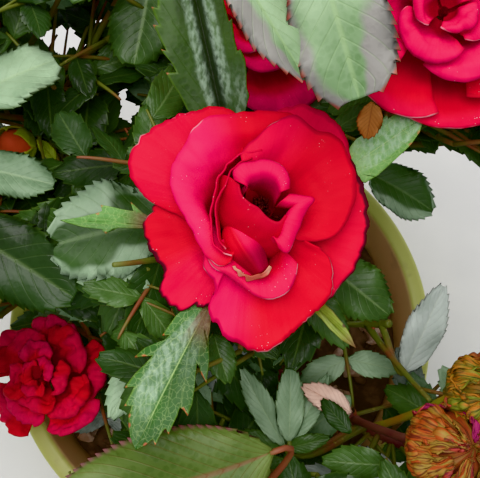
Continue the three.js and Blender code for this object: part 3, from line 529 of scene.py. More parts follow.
class Shoot:
    """One mass of foliage as it grows: its curve, twigs, leaf stalks and leaflets."""

    def __init__(self, row):
        self.row, self.name = row, row["name"]
        self.start, self.curve = centreline(row)
        self.heart = bezier(self.curve, (row["cane"] + row["stem"]) / 2)
        self.twigs, self.stalks, self.leaflets = [], [], []
        for t in STEM_SHARES:
            owner = ("cane " if t < row["cane"] + 0.02 else "stem ") + self.name
            PLACES.take(bezier(self.curve, t), radius_along(t) + STEM_ROOM, owner)

    def is_home(self, point):
        """A mass keeps to what is nearer to its own heart than to any other, give or take a little."""
        own = np.linalg.norm(point - self.heart) - HOME_SLACK
        return all(o is self or np.linalg.norm(point - o.heart) > own for o in SHOOT_LIST)

    def leaf_at(self, root, azimuth, rise, scale, droop, roll, leaf_id, ignored, rule, local):
        """One leaf from a point of a stem. A leaflet that would leave the mass's space, stand in an
        opening or touch something is left off."""
        out = aimed(azimuth, rise)
        length = (PETIOLE_LENGTH + RACHIS_LENGTH) * scale
        point_at = lambda t: root + out * length * t - UP * droop * length * t * t
        aim_at = lambda t: unit(out - UP * 2 * droop * t)
        stalk = close_points([point_at(t) for t in (0.15, 0.3, 0.45, 0.6, 0.75, 0.9, 1)])
        if in_pot(stalk).any() or not PLACES.is_free(stalk, rule["stalk_radius"], ignored, local):
            return {"kept": []}
        middle, end = point_at(0.5), point_at(1)
        kept = []
        for at, turn, size in LEAFLET_PLAN:
            aim = aim_at(at)
            face = face_of(aim, roll)
            base = middle + (end - middle) * (2 * at - 1) if at > 0.5 else root + (middle - root) * 2 * at
            made = dict(base=base, along=turned_about(aim, face, turn), face=face, at=at)
            made["length"] = LEAFLET_LENGTH * scale * size
            made["width"] = made["length"] * LEAFLET_SHAPE
            samples = blade_samples(made)
            inside = rule["inside"](samples) and not in_pot(samples).any()
            if not inside or not self.is_home(samples[len(samples) // 2]):
                continue
            free = PLACES.is_free(samples, rule["sample_radius"], [leaf_id], local)
            if free and not PLACES.open_sky(samples, self.name, rule["open"]).any():
                kept.append(made)
        tipless = not any(made["at"] == 1 for made in kept)
        tip = (middle + end) / 2 if tipless else end + aim_at(1) * SUNK
        return {"kept": kept, "stalk": stalk, "path": np.array([root, middle, tip])}

    def grow_leaf(self, given, rule):
        """The best of a few turns of one leaf is grown, and its place is taken."""
        local = PLACES.near(given["root"], LEAF_AROUND * given["scale"])
        best = {"kept": []}
        for k in range(rule["tries"]):
            swing = (1 if k % 2 else -1) * math.ceil(k / 2) * LEAF_SWING
            leaf = self.leaf_at(**{**given, "azimuth": given["azimuth"] + swing}, rule=rule, local=local)
            if k == 0 or len(leaf["kept"]) > len(best["kept"]):
                best = leaf
        if len(best["kept"]) < rule["fewest"]:
            return False
        self.stalks.append((best["path"], given["scale"]))
        for made in best["kept"]:
            self.leaflets.append({**made, "leaf": given["leaf_id"]})
            PLACES.take(blade_samples(made), rule["blade_room"], given["leaf_id"])
        PLACES.take(best["stalk"], STALK_ROOM, given["leaf_id"])
        return True

    def leaves_along(self, curve, low, high, count, chance, ignored, scale, tag, rule):
        """Leaves along a stem, each a fixed turn from the one before it, give or take a little. They rise
        more toward the tip, and their size, droop and roll are drawn by chance. Says how many grew."""
        grown = 0
        azimuth = 360 * chance()
        for k in range(count):
            share = (k + 0.5) / count
            azimuth += LEAF_TURN + 20 * (chance() - 0.5)
            given = dict(
                root=bezier(curve, low + (high - low) * share), azimuth=azimuth,
                rise=8 + 34 * share + 14 * (chance() - 0.5), scale=scale * (0.86 + 0.26 * chance()),
                droop=0.1 + 0.22 * chance(), roll=50 * (chance() - 0.5),
                leaf_id=f"{self.name} {tag} {k}", ignored=ignored,
            )
            grown += self.grow_leaf(given, rule)
        return grown

    def side_twigs(self, chance, rule):
        """Side twigs of the leafy stem, each with leaves of its own."""
        cane, stem, twigs = self.row["cane"], self.row["stem"], rule["twigs"](self.row)
        outward = math.degrees(math.atan2(self.heart[1], self.heart[0]))
        for k in range(twigs):
            t = cane + (stem - cane) * (rule["twig_low"] + rule["twig_span"] * k / twigs)
            root = bezier(self.curve, t)
            azimuth = outward + (-1 if k % 2 else 1) * (rule["swing"] + rule["swing_more"] * chance())
            along = aimed(azimuth, 20 + 25 * chance())
            reach = rule["reach"] + 16 * chance()
            twig = np.array([root, root + along * reach * 0.55, root + along * reach + UP * reach * 0.28])
            path = bezier(twig, np.array([0, 0.33, 0.66, 1]))
            samples = close_points(path)[2:]
            own, twig_id = "stem " + self.name, f"{self.name} {rule['tag']} {k}"
            if in_pot(samples).any() or PLACES.open_sky(samples, self.name, rule["open"]).any():
                continue
            if not PLACES.is_free(samples, rule["twig_clearance"], [own], PLACES.near(root, TWIG_AROUND)):
                continue
            PLACES.take(samples, TWIG_ROOM, twig_id)
            grown = self.leaves_along(
                twig, 0.3, 1.08, rule["twig_leaves"], chance, [own, twig_id], rule["scale"],
                f"{rule['tag']} {k}", rule,
            )
            if grown:
                self.twigs.append((bezier(twig, np.linspace(0, 1, 9)), rule["twig_radii"]))


def inside_box(samples):
    """Whether points keep to the reach of the part's solids."""
    low, high = np.array(cad_box[0]) / MM, np.array(cad_box[1]) / MM
    return bool(((samples > low) & (samples < high)).all())


# The source's rule, and the same rule carried on to finer twigs and smaller leaves, which may come closer
# to each other than their own thickness.
SOURCE_RULE = dict(
    tag="twig", leaf_tag="leaf", leaves=lambda row: row["leaves"], twigs=lambda row: row["twigs"],
    twig_low=0.12, twig_span=0.5, swing=38, swing_more=30, reach=34, twig_leaves=5, scale=0.88,
    sample_radius=BLADE_ROOM, blade_room=BLADE_ROOM, fewest=3, twig_radii=(1.5, 0.9), stalk_radius=1,
    twig_clearance=1.6, open=1, tries=LEAF_TRIES, inside=lambda samples: True,
)
FINE_RULE = dict(
    SOURCE_RULE, tag="fine", leaf_tag="fine leaf", leaves=lambda row: 20, twigs=lambda row: 15,
    twig_low=0.0, twig_span=1.0, swing=12, swing_more=160, reach=20, scale=0.86, sample_radius=-0.4,
    blade_room=0.9, fewest=2, twig_radii=(1.1, 0.6), stalk_radius=-0.9, twig_clearance=-1.2, open=0.6,
    tries=2, inside=inside_box,
)
FINER_RULE = dict(FINE_RULE, tag="finer", leaf_tag="finer leaf", reach=30, scale=0.78)

PLACES = Places()
SHOOT_LIST = []
for shoot_row in SHOOTS:
    SHOOT_LIST.append(Shoot(shoot_row))
SHOOT_NAMED = {shoot.name: shoot for shoot in SHOOT_LIST}


# The flowers: the shoot that bears each, the place on its stem where the stalk starts, the foot of its
# hip, the way it faces, its size, its kind, the length of its sepals and the seed of its petals.
FLOWERS = table(
    ("name", "shoot", "start", "foot", "aim", "radius", "depth", "kind", "sepal", "seed"),
    ("bloom_centre", "centre", None, None, None, 26, 18, "large", None, 0),
    ("bloom_back_right", "back_right", None, None, None, 25, 15, "full", 15, 21),
    ("bloom_back", "back", None, None, None, 22, 14, "open", 15, 22),
    ("bud_outer_back", "back_left", None, None, None, 7, 15, "bud", 14, 23),
    ("bud_outer_left", "left", None, None, None, 7, 15, "bud", 14, 24),
    ("bloom_front_left", "front_left", None, None, (-20, -6, 95), 19, 13, "open", 13, 25),
    ("bloom_front", "front", None, None, None, 22, 15, "open", 15, 26),
    ("bud_outer_right", "front_right", None, None, None, 7, 15, "bud", 14, 27),
    ("faded_head_low", "front_right", 0.5, (52, -42, 214), (6, -10, 96), 9, 14, "faded", 9, 28),
    ("faded_head_high", "front_right", 0.56, (62, -29, 215), (20, 14, 90), 8, 12, "faded", 8, 29),
    ("bud_left", "left", 0.62, (-61, 46, 176), (-4, 4, 98), 6, 12, "bud", 13, 30),
    ("bud_front", "front", 0.66, (24, -92, 186), (24, -30, 90), 6, 12, "bud", 13, 32),
)

# The long leafy sepals of the large bloom: azimuth, rise, length, width and roll.
LEAFY_SEPALS = [
    (103, 27, 62, 25, -10), (32, 25, 43, 15, 16), (-50, 9, 36, 6.5, 30), (-117, 7, 57, 17, 8),
    (180, 13, 41, 7, -8),
]

# How far up its depth the core of each kind is drawn, as in the part.
CORES = {
    "large": (0.2, 0.44), "open": (0.5, 0.95, 1.02), "full": (0.5, 0.95, 1.02), "faded": (0.5, 0.95, 1.1),
    "bud": (0.15, 0.4, 0.72, 1),
}


class Flower:
    """One flower's stalk, hip and axis, and the room that it takes."""

    def __init__(self, row):
        self.row, self.name = row, row["name"]
        shoot = SHOOT_NAMED[row["shoot"]]
        start = row["start"] or shoot.row["stem"]
        foot = np.array(row["foot"] or shoot.row["tip"], float)
        self.axis = unit(np.array(row["aim"] or shoot.row["aim"], float))
        self.hip = min(HIP_RADIUS, row["radius"] * 0.3)
        root, root_aim = self.root_of(shoot, start, foot)
        reach = np.linalg.norm(foot - root)
        self.stalk = np.array(
            [root, root + root_aim * reach * CURVE_HANDLE, foot - self.axis * reach * CURVE_HANDLE, foot]
        )
        self.foot, self.top = foot, foot + self.axis * HIP_REACH * self.hip
        steps = max(2, round(reach / 18))
        path = list(bezier(self.stalk, np.arange(steps + 1) / steps))
        path += [foot + self.axis * along * self.hip for along in (0.5, 1.1, HIP_REACH)]
        path += [self.top + self.axis * along * row["depth"] for along in CORES[row["kind"]]]
        PLACES.take(close_points(path), TWIG_ROOM, self.name)
        for k in range(5):
            height = self.top + self.axis * row["depth"] * k / 4
            PLACES.take(height, row["radius"] * (0.55 + 0.12 * k), self.name)
        if row["kind"] == "large":
            for azimuth, rise, length, width, roll in LEAFY_SEPALS:
                along = aimed(azimuth, rise)
                sepal = dict(base=self.top, along=along, face=face_of(along, roll), arch=0.02)
                samples = blade_samples({**sepal, "length": length, "width": width})
                PLACES.take(samples, SEPAL_ROOM, self.name)
                PLACES.cones.append((self.top + along * length * 0.6, width * 0.7, self.name))
        PLACES.cones.append((self.top + self.axis * row["depth"], row["radius"] * 1.1, self.name))

    def root_of(self, shoot, start, foot):
        """Where the stalk starts: at the end of the leafy stem, or beside it."""
        way = tangent(shoot.curve, start)
        if start >= shoot.row["stem"]:
            return bezier(shoot.curve, start), way
        out = foot - bezier(shoot.curve, start)
        out = unit(out - way * (out @ way))
        root = bezier(shoot.curve, start) + out * (radius_along(start) + STALK_RADIUS * 0.5 + SEAT_GAP)
        return root, unit(out + way * 0.6)

    def brim(self, along):
        """Where a sepal that runs along a direction leaves the hip."""
        return self.foot + self.axis * 1.2 * self.hip + along * self.hip * 0.3

    def placed(self, points):
        """Points of the flower's own frame, its axis up, in the bush: the shortest turn from up to the
        axis, then a shift to the top of the hip."""
        v = np.cross(UP, self.axis)
        c = self.axis @ UP
        cross = np.array([[0, -v[2], v[1]], [v[2], 0, -v[0]], [-v[1], v[0], 0]])
        turn = np.eye(3) + cross + cross @ cross / (1 + c)
        return points @ turn.T + self.top


HEADS = [Flower(row) for row in FLOWERS]


def twig_and_blade(row):
    """A twig from the shoot's stem to a place, and the blade that it carries."""
    shoot = SHOOT_NAMED[row["shoot"]]
    along, base = aimed(row["azimuth"], row["rise"]), np.array(row["base"], float)
    t = shoot.row["cane"] + (shoot.row["stem"] - shoot.row["cane"]) * row["start"]
    root = bezier(shoot.curve, t)
    reach = np.linalg.norm(base - root)
    bend = np.array(row["via"], float) if row["via"] else root + (base - root) * 0.3 + UP * reach * 0.1
    twig = np.array([root, bend, base - along * reach * 0.3, base + along * SUNK])
    return twig, {**row, "base": base, "along": along, "face": face_of(along, row["roll"])}


def set_leaf(row, shown):
    """Takes the place of the part's blade and its twig, and gives the blade that is shown."""
    shoot = SHOOT_NAMED[row["shoot"]]
    twig, blade = twig_and_blade(row)
    base, along = blade["base"], blade["along"]
    owner = "set " + row["shoot"]
    PLACES.take(blade_samples(blade), BLADE_ROOM, owner)
    PLACES.take(close_points(bezier(twig, np.arange(5) / 4))[2:], STALK_ROOM, owner)
    PLACES.cones.append((base + along * row["length"] * 0.5, row["length"] * 0.4, owner))
    twig, blade = twig_and_blade({**row, **shown})
    shoot.twigs.append((bezier(twig, np.linspace(0, 1, 13)), (1.1, 0.7)))
    return blade


SET_BLADES = [set_leaf(row, shown) for row, shown in zip(SET_LEAVES, SHOWN_LEAVES)]


def grow(rule, seed_step, scale):
    """One pass of a rule over all the shoots."""
    for shoot in SHOOT_LIST:
        row = shoot.row
        chance = seeded(row["seed"] + seed_step)
        shoot.leaves_along(
            shoot.curve, row["cane"] + 0.02, row["stem"] - 0.03, rule["leaves"](row), chance,
            ["stem " + shoot.name], scale, rule["leaf_tag"], rule,
        )
        shoot.side_twigs(chance, rule)


grow(SOURCE_RULE, 0, 1)
PLACES.cones += [(np.array(foot, float), radius, "opening") for foot, radius in FINE_OPENINGS]
grow(FINE_RULE, 100, 0.92)
grow(FINER_RULE, 200, 0.8)


# Surfaces of the plant. How far a leaf's halves curl down and how far its edge waves, as shares of its
# width, and how wide it is drawn at its widest, as a share of the width that it is given.
LEAF_CURL = 0.3
LEAF_WAVE = 0.05
LEAF_FULLNESS = 0.82

# The thicknesses in millimetres of the crown's leaflets, of the finer ones and the long sepals, and of the
# other sepals.
LEAF_THICKNESS = 0.3
FINE_LEAF_THICKNESS = 0.4
SEPAL_THICKNESS = 0.5


def blade_sheets(blades, teeth, columns, depth, seed, fold=0.16, point=0.35):
    """Leaf blades as sheets (n, rows, columns, 3). Down its midrib s runs from 0 to 1 and the blade bows
    by its arch times s squared. Across, c runs from -1 to 1 out to the half width, which goes as a power
    of s times a power of what is left of it. The edge steps out at its teeth and in at the notches, and
    waves, and the halves rise from the midrib in a fold and curl down again."""
    rng = np.random.default_rng(seed)
    pick = lambda key, default=0.0: np.array([b.get(key, default) for b in blades], float)[:, None, None]
    base, along, face = (np.array([b[key] for b in blades]) for key in ("base", "along", "face"))
    across = np.cross(face, along)
    length, width = pick("length"), pick("width")
    notch = np.arange(teeth + 1) / teeth
    s = np.sort(np.r_[notch, notch[:-1] + 0.78 / teeth])
    s = np.r_[0, s[1:-1], 1][None, :, None]
    is_tip = (np.arange(2 * teeth + 1) % 2)[None, :, None]
    c = np.linspace(-1, 1, columns)[None, None, :]
    rise_power, fall_power = pick("shoulder", 0.62), pick("taper", 0.74)
    peak = rise_power / (rise_power + fall_power)
    body = np.maximum(s, 0.004) ** rise_power * np.maximum(1 - s, 0.012) ** fall_power
    body = LEAF_FULLNESS * body / (peak**rise_power * (1 - peak) ** fall_power)
    tooth = depth * np.where(is_tip == 1, 0.55, -0.45) * smooth_step(0.02, 0.2, s) * np.abs(c) ** 6
    each = (len(blades), 1, 1)
    lean, twist, phase = rng.normal(0, 0.06, each), rng.normal(0, 0.25, each), rng.uniform(0, 6.3, each)
    half = width / 2 * body * (1 + tooth)
    forward = s * length + is_tip * np.abs(c) ** 6 * length * point / teeth
    side = half * c + lean * length * s * s
    arch = pick("arch", LEAFLET_ARCH)
    rise = half * np.abs(c) * fold * 1.9 - LEAF_CURL * half * c * c + twist * half * c * s
    rise = rise + LEAF_WAVE * width * c * c * np.sin(2 * math.pi * 2.2 * s + phase + 2 * c)
    rise = rise - arch * length * s * s
    return (
        base[:, None, None]
        + along[:, None, None] * forward[..., None]
        + across[:, None, None] * side[..., None]
        + face[:, None, None] * rise[..., None]
    ), s, c


# How far a lobed blade's side veins slant forward, the end of its midrib, a step that keeps feet apart,
# the drop in millimetres past which a point of the margin is a tooth's tip, and its curl and wave.
LOBE_SLANT = 1.1
LOBE_END = 1.01
FOOT_STEP = 1e-4
TOOTH_DROP = 0.8
LOBE_CURL = 0.2
LOBE_WAVE = 0.35
LOBE_ROWS = 50
LOBE_COLUMNS = 33


def lobed_sheet(blade, seed):
    """One blade whose margins are given as points: the share of its length and millimetres to the side.
    A line slanting forward like a side vein reaches each point from a foot on the midrib, behind it by
    the slant times its distance and never behind the foot before. The rise to the side follows from the
    place alone, so that lobes and notches lie in one surface."""
    length = blade["length"]
    margins = []
    for edge, side in ((blade["left"], 1), (blade["right"], -1)):
        edge = np.array([(0, 0.8 * side), *edge, (1, blade["end"])], float)
        foot = np.maximum.accumulate(edge[:, 0] - LOBE_SLANT * np.abs(edge[:, 1]) / length)
        foot = clamp01(foot) + np.arange(len(foot)) * FOOT_STEP
        foot[-1] = LOBE_END
        margins.append((foot, edge))
    (left_foot, left_edge), (right_foot, right_edge) = margins
    s = np.unique(np.concatenate([np.linspace(0, LOBE_END, LOBE_ROWS), left_foot, right_foot]))[:, None]
    c = np.linspace(-1, 1, LOBE_COLUMNS)[None, :]
    reach = [
        np.where(c > 0, np.interp(s, left_foot, left_edge[:, k]), np.interp(s, right_foot, right_edge[:, k]))
        for k in (0, 1)
    ]
    middle = blade["end"] * s * s
    share = np.minimum(s, 1) + np.abs(c) * (reach[0] - np.minimum(s, 1))
    side = middle + np.abs(c) * (reach[1] - middle)
    away = np.abs(side - middle)
    wide = np.interp(share, *blade["wide"])
    rise = away * (blade["fold"] - LOBE_CURL * away / wide) - 0.02 * length * share**2
    rise = rise + LOBE_WAVE * (away / wide) ** 2 * np.sin(2 * math.pi * 2.6 * share + seed + 0.3 * side)
    across = np.cross(blade["face"], blade["along"])
    sheet = blade["base"] + (share * length)[..., None] * blade["along"] + side[..., None] * across
    edges = (left_edge[1:], right_edge[1:])
    tips = np.concatenate([edge[:-1][np.diff(np.abs(edge[:, 1])) < -TOOTH_DROP] for edge in edges])
    near = [np.hypot((share - x) * length, side - y) for x, y in tips]
    facts = {
        "blade_along": share, "blade_across": (np.sign(c) * away / wide + 1) / 2, "rim": np.abs(c),
        "tooth": smooth_step(0.9, 0.1, np.min(near, axis=0)),
    }
    sheet = sheet + rise[..., None] * blade["face"]
    return sheet[None], {key: value[None] for key, value in facts.items()}


def leaf_layout(s, c):
    """The place on a blade that the vein pattern reads: along, across from 0 to 1, and the tips of teeth."""
    is_tip = (np.arange(s.shape[1]) % 2)[None, :, None]
    return {"blade_along": s, "blade_across": (c + 1) / 2, "tooth": is_tip * np.abs(c) ** 10}


def glow_facts(facts, glow):
    """Where a lobed blade is pale with a painted sheen of light on its hairs, dark with painted shade in its
    fold, and ruddy at its base: for each of them boxes of places across and along, and how strong. A tint
    without boxes is nowhere."""
    s, c = facts["blade_along"], facts["blade_across"] * 2 - 1

    def box(low, high, start, stop, level):
        return level * window(c, low, high, 0.06) * window(s, start, stop, 0.08)

    return {key: sum(box(*row) for row in glow.get(key, [])) for key in ("sheen", "hollow", "ruddy")}


def petal_sheet(petal, rows, columns):
    """A petal by the source's formula: v runs from the claw to the lip and u from side to side. Its
    distance from the axis and its height follow two cubics, its shoulders are rounded, its lip rolls."""
    v, u = grid(rows, columns)
    t = v * (1 - 0.22 * np.abs(u) ** 3)
    s = 1 - t
    belly, roll = petal["belly"], petal["roll"]
    mid, late, end = 3 * s * s * t, 3 * s * t * t, t**3
    out = s**3 * 1.2 + mid * (1.2 + 0.7 * belly * petal["reach"])
    out = out + late * petal["reach"] * (0.55 + 0.35 * belly) + end * petal["reach"]
    up = petal["lift"] * (1 - t) + petal["height"] * (mid * (0.45 - 0.35 * belly) + 0.95 * late + end)
    out = out * (1 + petal["skew"] * u * t)
    lip = clamp01((t - 0.72) / 0.28)
    out = out + 0.5 * roll * lip * lip
    up = up - roll * lip * lip - 1.2 * np.abs(u) ** 3 * t * belly
    up = up + petal["wave"] * np.sin(3.2 * u + petal["turn"]) * t * t
    angle = np.radians(petal["turn"] + u * petal["half"] * (0.55 + 0.45 * np.sqrt(t)))
    return round_sheet(out, angle, up)


def lip_sheet(petal, rows, columns, seed):
    """A petal drawn by its lip, a smooth curve through a few points with nicks of two sizes. From claw
    to lip its distance from the cup's middle and its height are the lip's own times the profile, a Bezier
    curve of shares, while the middle moves from the flower's axis to its place."""
    v, u = np.linspace(0, 1, rows), np.linspace(0, 1, columns)
    edge = through(petal["lip"], u)
    middle = np.array(petal["middle"], float)
    away = unit(edge[:, :2] - middle)
    nicks = 0.35 * ripples(edge[:, :2], 4.5, seed) + 0.12 * ripples(edge[:, :2], 1.4, seed + 1)
    edge = edge + np.c_[away * nicks[:, None] * petal["ruffle"], np.zeros(len(edge))]
    shares = bezier(petal["profile"], v)
    shift = smooth_step(0, 0.75, v)[:, None, None] * middle
    out = np.maximum(shares[:, 0], 0.03)[:, None, None] * (edge[None, :, :2] - middle)
    height = shares[:, 1, None] * edge[None, :, 2]
    return np.concatenate([shift + out, height[..., None]], -1)


def loft_sheet(outlines, rows, columns):
    """A sheet through a few outlines, each a smooth curve through points: every column of the sheet is a
    smooth curve through its places on the outlines, from the first to the last."""
    across = np.linspace(0, 1, columns)
    curves = np.stack([through(outline, across) for outline in outlines])
    return np.stack([through(curves[:, k], np.linspace(0, 1, rows)) for k in range(columns)], axis=1)


def tongue_sheet(foot, tip, wide, low, high, rows, columns):
    """A small petal folded over the middle: an egg outline about its axis, domed across, with a keel."""
    foot, tip = np.array(foot, float), np.array(tip, float)
    v, u = grid(rows, columns)
    axis = tip - foot
    side = unit(np.array([axis[1], -axis[0]]))
    half = wide * np.sin(math.pi * (0.1 + 0.87 * v**1.4)) ** 0.6
    flat = foot + v[..., None] * axis + (half * u)[..., None] * side
    dome = (1 - np.abs(u) ** 2.4) * np.sin(math.pi * (0.2 + 0.78 * v)) ** 0.5
    keel = 0.14 * np.exp(-((u + 0.1) / 0.14) ** 2) * np.sin(math.pi * v)
    return np.concatenate([flat, (low + (high - low) * (dome + keel))[..., None]], -1)


# Finishes. Colours are given as they look on a screen, from 0 to 255.
RUDDY = (112, 62, 60)
# The pale grey of a painted sheen of light on the sepals' hairs.
HAIR_SHEEN_GREY = (168, 190, 168)
DRY_RED = (88, 24, 38)


def screen(red, green, blue):
    linear = lambda x: ((x / 255 + 0.055) / 1.055) ** 2.4 if x > 10 else x / 255 / 12.92
    return (linear(red), linear(green), linear(blue), 1.0)


class Wire:
    """A shader socket that takes part in sums: each operator adds its Math node."""

    def __init__(self, finish, socket):
        self.finish, self.socket = finish, socket

    def math(self, operation, *values):
        return self.finish.node("Math", {"operation": operation}, dict(enumerate(values)))

    def __add__(self, other):
        return self.math("ADD", self, other)

    def __sub__(self, other):
        return self.math("SUBTRACT", self, other)

    def __rsub__(self, other):
        return self.math("SUBTRACT", other, self)

    def __mul__(self, other):
        return self.math("MULTIPLY", self, other)

    def __truediv__(self, other):
        return self.math("DIVIDE", self, other)

    __radd__, __rmul__ = __add__, __mul__

    def size(self):
        return self.math("ABSOLUTE", self)

    def part(self):
        return self.math("FRACT", self)

    def rise(self, low, high):
        """From 0 where the value is low to 1 where it is high, smoothly; high may be the smaller."""
        settings = {"interpolation_type": "SMOOTHSTEP"}
        if low < high:
            return self.finish.node("MapRange", settings, {"Value": self, "From Min": low, "From Max": high})
        return 1 - self.rise(high, low)


class Finish:
    """One material. Numbers that are the same all over go on the shader's own sockets."""

    def __init__(self, name, colour, **constants):
        self.material = bpy.data.materials.new(name)
        self.material.use_nodes = True
        self.tree = self.material.node_tree
        self.shader = next(n for n in self.tree.nodes if n.type == "BSDF_PRINCIPLED")
        self.set({"Base Color": screen(*colour)})
        self.set({key.replace("_", " ").title().replace("Ior", "IOR"): v for key, v in constants.items()})
        self.material.diffuse_color = screen(*colour)

    def set(self, values, node=None):
        """Gives a node's sockets their values or links. Without a node, the shader's."""
        for key, value in values.items():
            socket = (node or self.shader).inputs[key]
            if isinstance(value, Wire):
                self.tree.links.new(value.socket, socket)
            else:
                socket.default_value = value

    def node(self, kind, settings=None, inputs=None, output=0):
        """Any node: its settings first, then its sockets."""
        made = self.tree.nodes.new("ShaderNode" + kind)
        for key, value in (settings or {}).items():
            setattr(made, key, value)
        self.set(inputs or {}, made)
        return Wire(self, made.outputs[output])

    def mix(self, share, first, second):
        """From the first colour to the second by a share from 0 to 1."""
        first, second = (screen(*c) if isinstance(c, tuple) else c for c in (first, second))
        return self.node("Mix", {"data_type": "RGBA"}, {0: share, 6: first, 7: second}, output=2)

    def fact(self, name):
        """A number that the mesh carries at each point."""
        return self.node("Attribute", {"attribute_name": name}, output=2)

    def place(self):
        return self.node("TexCoord", output=3)

    def noise(self, where, scale, detail):
        return self.node("TexNoise", inputs={"Vector": where, "Scale": scale, "Detail": detail})

    def grain(self, size, detail=3.0, stretch=None):
        """Noise from 0 to 1 whose blotches are about one size, in millimetres."""
        where = self.place()
        if stretch:
            where = self.node("Mapping", inputs={0: where, "Scale": stretch})
        return self.noise(where, 0.5 / (size * MM), detail)

    def streaks(self, across, along, shift, detail):
        """Noise drawn out along a petal: how often it changes across and along it, and a shift."""
        where = self.node("CombineXYZ", inputs={0: across, 1: along, 2: shift})
        return self.noise(where, 1.0, detail)

    def dots(self, size):
        """The distance to the nearest of dots that lie about one size apart, as a share of it."""
        return self.node("TexVoronoi", inputs={"Vector": self.place(), "Scale": 1 / (size * MM)})

    def net(self, size, wander, wobble):
        """The distance to the nearest line of a net, as a share of its mesh: the size of its meshes, how
        far its lines wander and over what length, in millimetres."""
        swing = self.node("TexNoise", inputs={"Vector": self.place(), "Scale": 1 / (wobble * MM)}, output=1)
        moved = {0: swing, 1: (wander * MM,) * 3, 2: self.place()}
        moved = self.node("VectorMath", {"operation": "MULTIPLY_ADD"}, moved)
        lines = {"Vector": moved, "Scale": 1 / (size * MM)}
        return self.node("TexVoronoi", {"feature": "DISTANCE_TO_EDGE"}, lines)

    def done(self, colour, height, depth, **more):
        """The material, with its colour and relief of a height from 0 to 1 times millimetres of depth."""
        bump = self.node("Bump", inputs={"Height": height, "Distance": depth * MM, "Strength": 1.0})
        self.set({"Base Color": colour, "Normal": bump, **more})
        return self.material


def leaf_finish(name, deep, pale, vein, margin, veins=8, gloss=0.5, patch=None, spread=0.0, tooth=None,
                lobed=0.0):
    """A leaf blade: deep and pale greens in blotches, a midrib and side veins that slant to the tip, and a
    lighter margin. Patches of another colour, which keep to the margin the more the spread is, and tinted
    teeth; on the edged green the pale margin and its patches are a painted sheen of light. On a lobed one a
    net of fine veins, its ruddy places, painted shade in its fold and a painted sheen of light on its hairs."""
    finish = Finish(name, deep, roughness=gloss, coat_weight=0.1, coat_roughness=0.4, specular_ior_level=0.35)
    along, across = finish.fact("blade_along"), finish.fact("blade_across")
    out = (across * 2 - 1).size()
    slant = ((along - out * 0.34) * veins).part() - 0.5
    side_vein = slant.size().rise(0.4, 0.5) * out.rise(1.0, 0.8)
    midrib = out.rise(0.05, 0.01) if lobed else out.rise(0.09, 0.02)
    line = side_vein + midrib
    mesh = finish.dots(1.6).rise(0.25, 0.6)
    colour = finish.mix(finish.grain(14).rise(0.35, 0.65), deep, pale)
    colour = finish.mix(mesh * 0.18, colour, pale)
    if patch:
        patches = (finish.grain(9, 2.0) + out * spread).rise(0.5 + spread / 2, 0.6 + spread / 2)
        colour = finish.mix(patches * 0.8, colour, patch)
    colour = finish.mix(side_vein * 0.18 + midrib * 0.5, colour, vein)
    rim = finish.fact("rim") if lobed else out
    colour = finish.mix(rim.rise(0.9, 1.0) * 0.45, colour, margin)
    if tooth:
        colour = finish.mix(finish.fact("tooth").rise(0.25, 0.8) * 0.85, colour, tooth)
    if lobed:
        colour = finish.mix(finish.net(1.5, 1.4, 1.6).rise(0.07, 0.0) * (0.3 * lobed), colour, vein)
        hairs = finish.grain(0.45, stretch=(1, 0.3, 1)).rise(0.35, 0.65) * 0.75 + 0.25
        colour = finish.mix(finish.fact("ruddy"), colour, RUDDY)
        # Painted shade darkens the fold, and a painted sheen of light whitens the hairs.
        colour = finish.mix(finish.fact("hollow"), colour, tuple(channel // 3 for channel in deep))
        colour = finish.mix(finish.fact("sheen") * hairs, colour, HAIR_SHEEN_GREY)
    quilt = slant.size() * -0.3 - line * 0.2 + mesh * 0.15 + finish.grain(4) * 0.3
    return finish.done(colour, quilt, 0.25, Roughness=finish.grain(6) * 0.2 + (gloss - 0.1))


def petal_finish(name, scarlet, magenta, shade, pale=(226, 190, 200), specks=1.0):
    """A petal: scarlet that goes over to magenta where the sheet carries a flush, which is partly the petal's
    own colour and partly a painted sheen of light, painted shade toward the claw and where the sheet is
    shaded, fine ribs that run out to the lip, pale specks near the lip, and a thin dried edge, pale in places
    and dark in others."""
    finish = Finish(name, scarlet, roughness=0.6, specular_ior_level=0.2)
    along, across = finish.fact("petal_along"), finish.fact("petal_across")
    flush, edge = finish.fact("flush"), finish.fact("edge")
    rib = finish.streaks(across * 34, along * 2.2, flush * 3, 2.0)
    colour = finish.mix(finish.grain(11, 2.0).rise(0.3, 0.75) * 0.5, scarlet, shade)
    # The magenta is partly the petal's own colour and partly a painted sheen of light.
    colour = finish.mix(flush, colour, magenta)
    colour = finish.mix(rib.rise(0.45, 0.75) * 0.13, colour, shade)
    # Painted shade: darker toward the claw, deep in the flower, and where the sheet is marked as shaded.
    claw_shade = along.rise(0.62, 0.3) * 0.6 + finish.fact("shaded") * 0.7
    colour = finish.mix(claw_shade, colour, tuple(channel // 2 for channel in shade))
    spot = finish.dots(1.0).rise(0.2, 0.08) * finish.grain(3.5).rise(0.5, 0.62)
    colour = finish.mix(spot * edge.rise(9, 1) * 0.55 * specks, colour, pale)
    worn = finish.grain(5, 3.0)
    colour = finish.mix(edge.rise(0.4, 0.1) * worn.rise(0.52, 0.64) * 0.5 * specks, colour, pale)
    colour = finish.mix((edge * 0.5 + worn * 1.6).rise(1.3, 0.95) * finish.fact("dry"), colour, DRY_RED)
    return finish.done(colour, rib * 0.35 + finish.grain(2.2) * 0.25, 0.2, Roughness=rib * 0.2 + 0.5)


